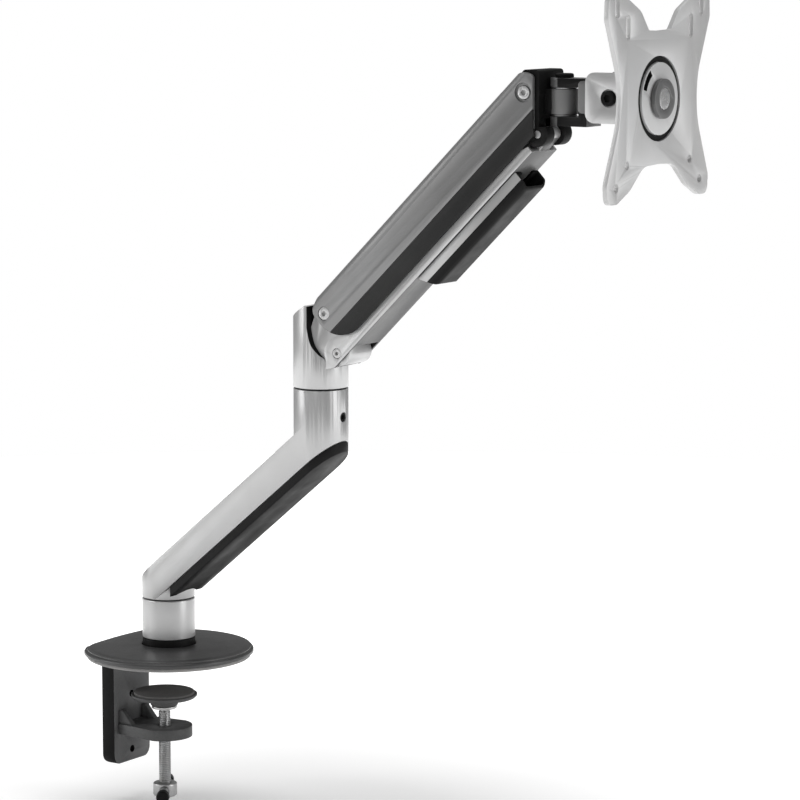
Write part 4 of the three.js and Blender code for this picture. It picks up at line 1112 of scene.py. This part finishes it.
def floor_material(value, near, far):
    """Pale paper, glowing softly towards the rim so that it meets the white surround from any side."""
    f = Finish("pale floor")
    soft = f.noise(3, 2, 0.5)
    f.done(f.mix(soft, grey(value * 0.985), grey(value)), f.span(soft, 0, 1, 0.75, 0.85))
    away = f.add("ShaderNodeVectorMath", operation="LENGTH")
    f.link(f.coord, away.inputs[0])
    f.bsdf.inputs["Emission Color"].default_value = (1, 1, 1, 1)
    f.link(f.span(away.outputs["Value"], near, far, 0.12, 1.0), f.bsdf.inputs["Emission Strength"])
    return f.mat


def build_stage():
    bm = bmesh.new()
    rim = [bm.verts.new(Vector((x, y, 0))) for x, y in circle(0, 0, FLOOR_RADIUS, 128)]
    bm.faces.new(rim)
    floor = made(bm, "studio_floor")
    floor.location = (0.1, 0, cad_low.z - 0.004)
    floor.data.materials.append(floor_material(FLOOR_PALE, *FLOOR_GLOW))


def area_light(name, place, target, size, power):
    lamp = bpy.data.lights.new(name, "AREA")
    lamp.shape = "RECTANGLE"
    lamp.size, lamp.size_y = size
    lamp.energy = power
    obj = bpy.data.objects.new(name, lamp)
    obj.location = place
    obj.rotation_mode = "QUATERNION"
    obj.rotation_quaternion = (Vector(target) - Vector(place)).to_track_quat("-Z", "Y")
    bpy.context.scene.collection.objects.link(obj)


def build_light():
    world = bpy.data.worlds.new("studio")
    world.use_nodes = True
    tree = world.node_tree
    sky = tree.nodes["Background"]
    sky.inputs["Color"].default_value = (1, 1, 1, 1)
    seen = tree.nodes.new("ShaderNodeLightPath")
    level = tree.nodes.new("ShaderNodeMapRange")
    level.inputs["To Min"].default_value = SURROUND_LIGHT
    level.inputs["To Max"].default_value = SURROUND_SEEN
    tree.links.new(seen.outputs["Is Camera Ray"], level.inputs["Value"])
    tree.links.new(level.outputs["Result"], sky.inputs["Strength"])
    bpy.context.scene.world = world
    area_light("left_softbox", (-1.5, -1.1, 0.9), (0.1, 0, 0.2), (1.0, 1.6), 16)
    area_light("front_fill", (0.5, -2.6, 1.6), (0.2, 0, 0.2), (1.4, 1.0), 6)
    area_light("right_softbox", (2.1, 0.5, 0.6), (0.2, 0, 0.2), (0.6, 1.6), 14)
    area_light("top_wash", (0.1, 0.5, 2.6), (0.1, 0, 0), (2.4, 2.4), 30)


CAMERA_PLACE = (1.3294, -1.7167, 0.4717)  # metres
CAMERA_ROUND = math.radians(33.7)         # how far round to the side it looks from
CAMERA_DOWN = math.radians(7.9)           # how far down it looks
CAMERA_LENS = 149.6                       # millimetres, on a 36 mm sensor


def build_camera():
    cam = bpy.data.objects.new("camera", bpy.data.cameras.new("camera"))
    bpy.context.scene.collection.objects.link(cam)
    a, p = CAMERA_ROUND, CAMERA_DOWN
    back = Vector((math.sin(a) * math.cos(p), -math.cos(a) * math.cos(p), math.sin(p)))
    cam.data.sensor_width = 36
    cam.data.lens = CAMERA_LENS
    cam.location = CAMERA_PLACE
    cam.rotation_mode = "QUATERNION"
    cam.rotation_quaternion = (-back).to_track_quat("-Z", "Y")
    cam.data.clip_start, cam.data.clip_end = 0.05, 40
    bpy.context.scene.camera = cam


build_stage()
build_light()
build_camera()
scene = bpy.context.scene
scene.view_settings.view_transform = "Standard"
scene.view_settings.look = "None"
scene.view_settings.exposure = 0.0
